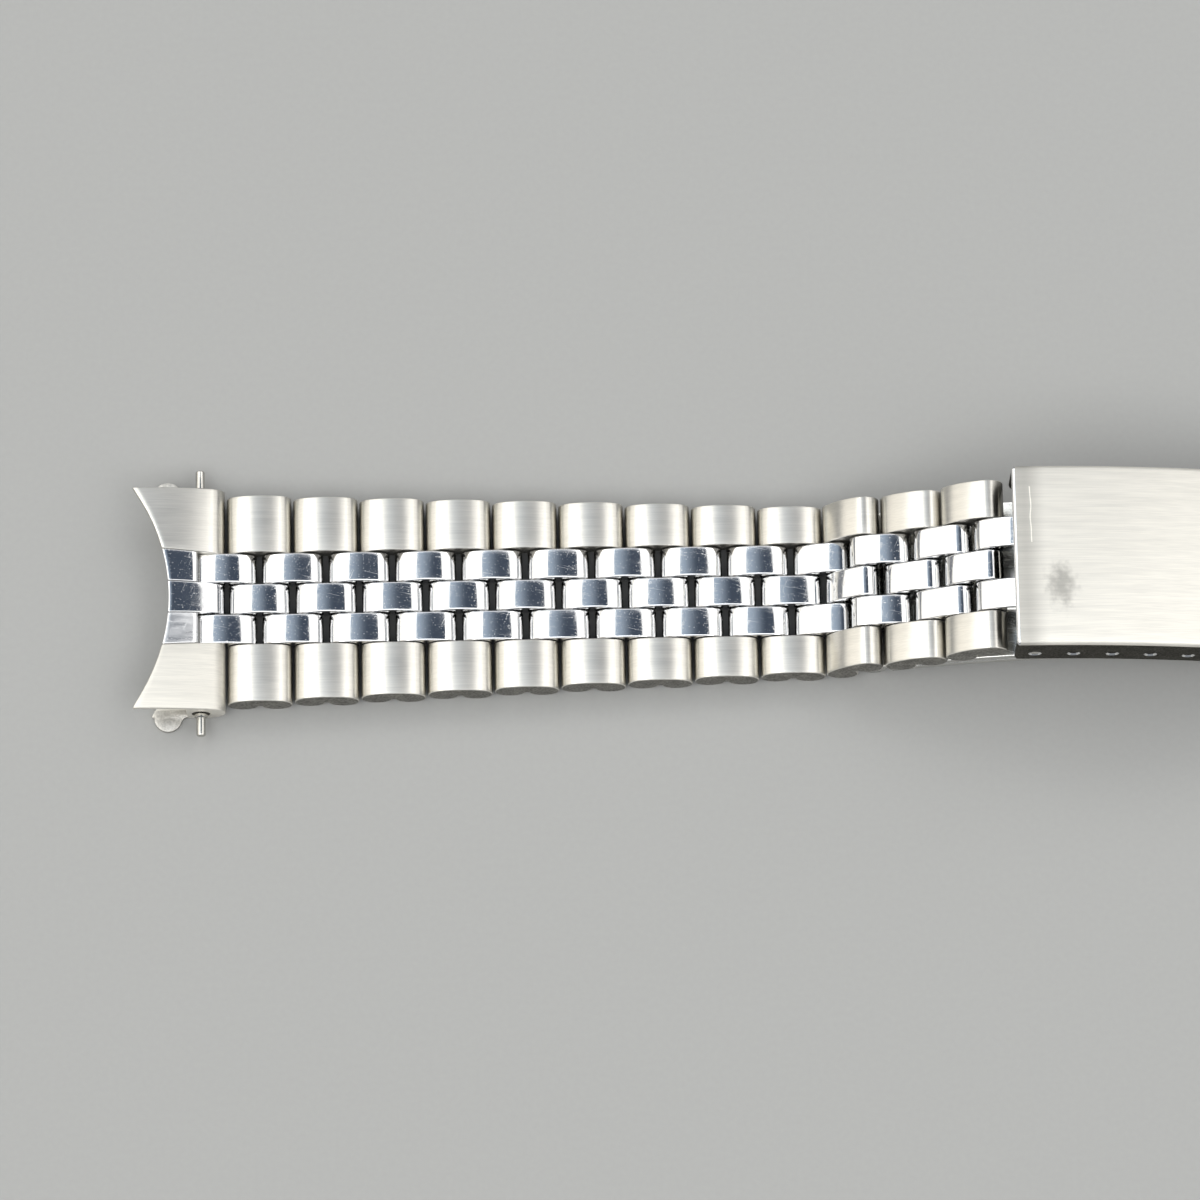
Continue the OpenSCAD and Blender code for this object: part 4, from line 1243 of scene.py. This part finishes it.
class EndSettings(bpy.types.PropertyGroup):
    """Sizes of the two end pieces"""
    reach: length("Reach", "Distance from the spring bar to the tips at the case", 5.8)
    overhang: length("Overhang", "How far the bend goes past the spring bar", 2.15)
    height: length("Height", "Height at the case", 4.1)
    top_radius: length("Top radius", "Radius of the arc along the top", 25)
    sheet: length("Sheet", "Thickness of the formed sheet", 0.45)
    case_radius: length("Case radius", "Radius of the side that lies against the case", 17)
    lug_width: length("Lug width", "Width between the lugs of the case", 20)
    tip_flat: length("Tip flat", "Width of the flat on each tip beside the case", 0.2)
    knuckle_back: length("Knuckle back", "How far the knuckle reaches behind the spring bar", 1.26)
    skin_edge: length("Skin edge", "Where the top skin over a bead ends before the spring bar", 0.18)
    bead_room: length("Bead room", "Where the lower skin under a bead ends before the spring bar", 1.45)
    bore_radius: length("Bore radius", "Radius of the bore for the spring bar", 0.81)
    edge: length("Case edge", "Width of the broken edge along the case side", 0.16)
    low_back: length("Lower skin", "How far the lower skin stops short of the case side", 1.5)
    row_edge: length("Row edge", "Radius of the edges along the lines between rows", 0.09)
    row_seam: length("Row seam", "Width of the line between two rows", 0.03)
    flare: angle("Flare", "How far a line one row pitch out flares towards the case", 2.5)
    dome: share("Dome", "Share of its height that the top loses at the lugs", 0.1)
    ear_width: length("Ear width", "Width of an ear on the lower skin", 2.4)
    ear_out: length("Ear out", "How far an ear stands out", 1.3)
    ear_fillet: length("Ear fillet", "Radius of the fillet beside an ear", 0.6)


class BarSettings(bpy.types.PropertyGroup):
    """Sizes of the three spring bars"""
    tube_radius: length("Tube radius", "Outer radius of a spring bar's tube", 0.75)
    wall: length("Wall", "Wall of the tube", 0.2)
    crimp: length("Crimp", "Thickness of the tube's crimped end", 0.3)
    fit: length("Fit", "Running clearance in the tube", 0.06)
    head: length("Head", "Length of a tip's head in the tube", 1.3)
    head_radius: length("Head radius", "Radius of that head", 0.49)
    neck_radius: length("Neck radius", "Radius of the neck through the crimped end", 0.24)
    flange_radius: length("Flange radius", "Radius of the flange behind a tip", 0.575)
    flange: length("Flange", "Thickness of that flange", 0.35)
    tip_radius: length("Tip radius", "Radius of the end that goes into a lug", 0.4)
    clasp_step: length("Clasp step", "How much thinner the clasp's tips are, on the radius", 0.03)
    tip_travel: length("Tip travel", "Travel of a lug tip", 2.0)
    clasp_travel: length("Clasp travel", "Travel of a clasp tip", 0.85)
    broken: length("Broken edge", "Size that the rounded edges of the tube, heads and flanges follow", 0.12)
    nose: length("Nose", "Size that the rounding of a tip's end follows", 0.1)
    wire: length("Wire", "Radius of the spring wire", 0.1)
    coil_pitch: length("Coil pitch", "Distance between two turns of the spring", 0.34)


class ClaspSettings(bpy.types.PropertyGroup):
    """Sizes of the clasp's cover and blades"""
    cover_length: length("Cover length", "Length of the cover", 33)
    cover_height: length("Cover height", "Height of the side walls with the top", 4.8)
    cover_radius: length("Cover radius", "Radius of the arc along the cover's top", 78)
    cover_edge: length("Cover edge", "Radius of the cover's long top edges", 0.4)
    end_edge: length("End edge", "Radius of the edges at the cover's two ends", 0.3)
    sheet: length("Sheet", "Thickness of the cover's sheet", 0.7)
    apex: length("Apex", "Distance from the left end to the highest point", 0.5)
    cover_fillet: length("Cover fillet", "Size of the fillet inside the cover's long edges", 0.25)
    cover_foot: length("Cover foot", "Size of the broken edges under the cover's walls", 0.1)
    hole_pitch: length("Hole pitch", "Distance between the adjusting holes", 3.35)
    hole_radius: length("Hole radius", "Radius of the adjusting holes", 0.43)
    hole_sink: length("Hole sink", "Size of the countersink outside each hole", 0.14)
    holes: IntProperty(name="Holes", description="Adjusting holes in a row", default=5, min=1, max=8)
    mark_along: length("Finger mark", "Distance of a finger mark from the left end", 4)
    mark_across: length("Mark across", "Distance of that mark from the middle, less than 0 on the near side",
                        -2.7, least=-10)
    snap_radius: length("Snap radius", "Radius of the snap bumps", 0.5)
    snap_lip: length("Snap lip", "Height of the bumps over the walls' lower edge", 0.45)
    snap_out: length("Snap out", "How far the bumps stand out of the walls", 0.2)
    snap_along: share("Snap place", "Share of the cover's length from its left end to the bumps", 0.6)
    blade_radius: length("Blade radius", "Radius of the arc along which the blades lie", 75)
    blade_sheet: length("Blade sheet", "Thickness of a blade", 0.8)
    blade_gap: length("Blade gap", "Gap between the two folded blades", 0.1)
    blade_edge: length("Blade edge", "Radius of a blade's edges", 0.14)
    side_gap: length("Side gap", "Gap between the blades and the cover's walls", 0.3)
    fold_radius: length("Fold radius", "Radius of the knuckles at the fold", 1.2)
    fold_split: length("Fold split", "Half the width of the middle knuckle at the fold", 2.5)
    knuckle_radius: length("Hinge radius", "Radius of the knuckle at the cover's hinge", 1.15)
    knuckle_back: length("Knuckle step", "How far the knuckles stand back from a blade's sides", 0.1)
    knuckle_edge: length("Knuckle edge", "Size of a knuckle's broken edges", 0.12)
    knuckle_room: length("Knuckle room", "Gap round a knuckle that turns in a notch", 0.2)
    pin_radius: length("Pin radius", "Radius of the hinge pins", 0.5)
    run_fit: length("Running fit", "Clearance round a pin that turns", 0.06)


class FinishSettings(bpy.types.PropertyGroup):
    """Colours of the steel"""
    brushed: colour("Brushed steel", "Colour of the brushed outer links and the cover", "#DEDBD3")
    polished: colour("Polished steel", "Colour of the polished rows", "#E2E2E2")
    tumbled: colour("Tumbled steel", "Colour of the sides of the links", "#A5A29B")
    # Darker than the links' sides: painted shade on the cover's walls and inside
    walls: colour("Walls", "Colour of the cover's walls and inside", "#7A7872")
    sheared: colour("Sheared sheet", "Colour of the end pieces' ears", "#D3D0C9")
    rolled: colour("Rolled strip", "Colour of the blades", "#D2D1CC")
    turned: colour("Turned steel", "Colour of the pins and spring bars", "#C2C0BA")
    wire: colour("Spring wire", "Colour of the coil springs", "#9A9894")


class StageSettings(bpy.types.PropertyGroup):
    """The floor, the room, the lights and the camera"""
    floor_size: FloatProperty(name="Floor size", description="Width of the floor", default=6.0, unit="LENGTH")
    floor_colour: colour("Floor", "Colour of the paper floor", "#9A9A98")
    ceiling_left: colour("Ceiling left", "Colour of the ceiling on the left, which the polished steel shows",
                         "#B4C4D6")
    ceiling_right: colour("Ceiling right", "Colour of the dim ceiling on the right", "#4A5463")
    wall_colour: colour("Walls", "Colour of the grey walls", "#8C8F94")
    walls_top: share("Walls top", "Sine of the angle where the walls darken", 0.5)
    gap_start: share("Ceiling edge", "Sine of the angle where the ceiling starts", 0.85)
    room_strength: number("Room strength", "Brightness of the room", 1.0)
    left_from: angle("Left from", "Angle from overhead where the left softbox starts", -16)
    left_to: angle("Left to", "Angle from overhead where the left softbox ends", -80)
    left_strength: number("Left strength", "Brightness of the left softbox", 1.65)
    left_tint: colour("Left tint", "Warm tint of the left softbox", "#FFFAF0")
    right_from: angle("Right from", "Angle from overhead where the right softbox starts", 22.5)
    right_to: angle("Right to", "Angle from overhead where the right softbox ends", 72)
    right_strength: number("Right strength", "Brightness of the right softbox", 1.6)
    right_tint: colour("Right tint", "Warm tint of the right softbox", "#FFFDF9")
    low_share: share("Low share", "Share of that brightness in their lower halves", 0.8)
    front_strength: number("Front strength", "Brightness of the front softbox", 1.9)
    back_strength: number("Back strength", "Brightness of the back softbox", 1.1)
    front_low: angle("Front low", "Lower edge of the front softbox above the floor", 46)
    back_low: angle("Back low", "Lower edge of the back softbox above the floor", 36)
    front_high: angle("Front high", "Upper edge of the front softbox", 82)
    back_high: angle("Back high", "Upper edge of the back softbox", 58)
    lens: number("Lens", "Focal length in mm on a 36 mm sensor", 219.29)
    camera_place: FloatVectorProperty(name="Camera place", description="Where the photograph was taken from",
                                      default=(-0.04784765, -0.17432863, 0.61501954), size=3,
                                      subtype="TRANSLATION")
    camera_turn: FloatVectorProperty(name="Camera turn", description="How the camera was turned", size=3,
                                     default=[math.radians(a) for a in (15.84312, -0.34496, -1.04895)],
                                     subtype="EULER")


class BRACELET_PT_panel(bpy.types.Panel):
    """Lists what the add-on builds and its main sizes"""
    bl_idname = "BRACELET_PT_panel"
    bl_label = "Link Bracelet"
    bl_space_type = "VIEW_3D"
    bl_region_type = "UI"
    bl_category = "Bracelet"

    def draw(self, context):
        for operator in OPERATORS:
            self.layout.operator(operator.bl_idname)
        for group in GROUPS:
            box = self.layout.box()
            for name in GROUPS[group].__annotations__:
                box.prop(getattr(context.scene, group), name)


GROUPS = {"bracelet_links": LinkSettings, "bracelet_ends": EndSettings, "bracelet_bars": BarSettings,
          "bracelet_clasp": ClaspSettings, "bracelet_finishes": FinishSettings, "bracelet_stage": StageSettings}
OPERATORS = (BRACELET_OT_studio, BRACELET_OT_links, BRACELET_OT_beads, BRACELET_OT_end_pieces,
             BRACELET_OT_spring_bars, BRACELET_OT_cover, BRACELET_OT_blades, BRACELET_OT_hinge_pins)


def register():
    """Registers the classes and gives each scene its settings."""
    for item in (*GROUPS.values(), *OPERATORS, BRACELET_PT_panel):
        bpy.utils.register_class(item)
    for name, group in GROUPS.items():
        setattr(bpy.types.Scene, name, PointerProperty(type=group))


def unregister():
    """Takes the settings and the classes away again."""
    for name in GROUPS:
        delattr(bpy.types.Scene, name)
    for item in reversed((*GROUPS.values(), *OPERATORS, BRACELET_PT_panel)):
        bpy.utils.unregister_class(item)


def main():
    """Builds the bracelet and its studio."""
    register()
    for operator in OPERATORS:
        group, name = operator.bl_idname.split(".")
        getattr(getattr(bpy.ops, group), name)()
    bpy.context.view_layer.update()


if __name__ == "__main__":
    main()
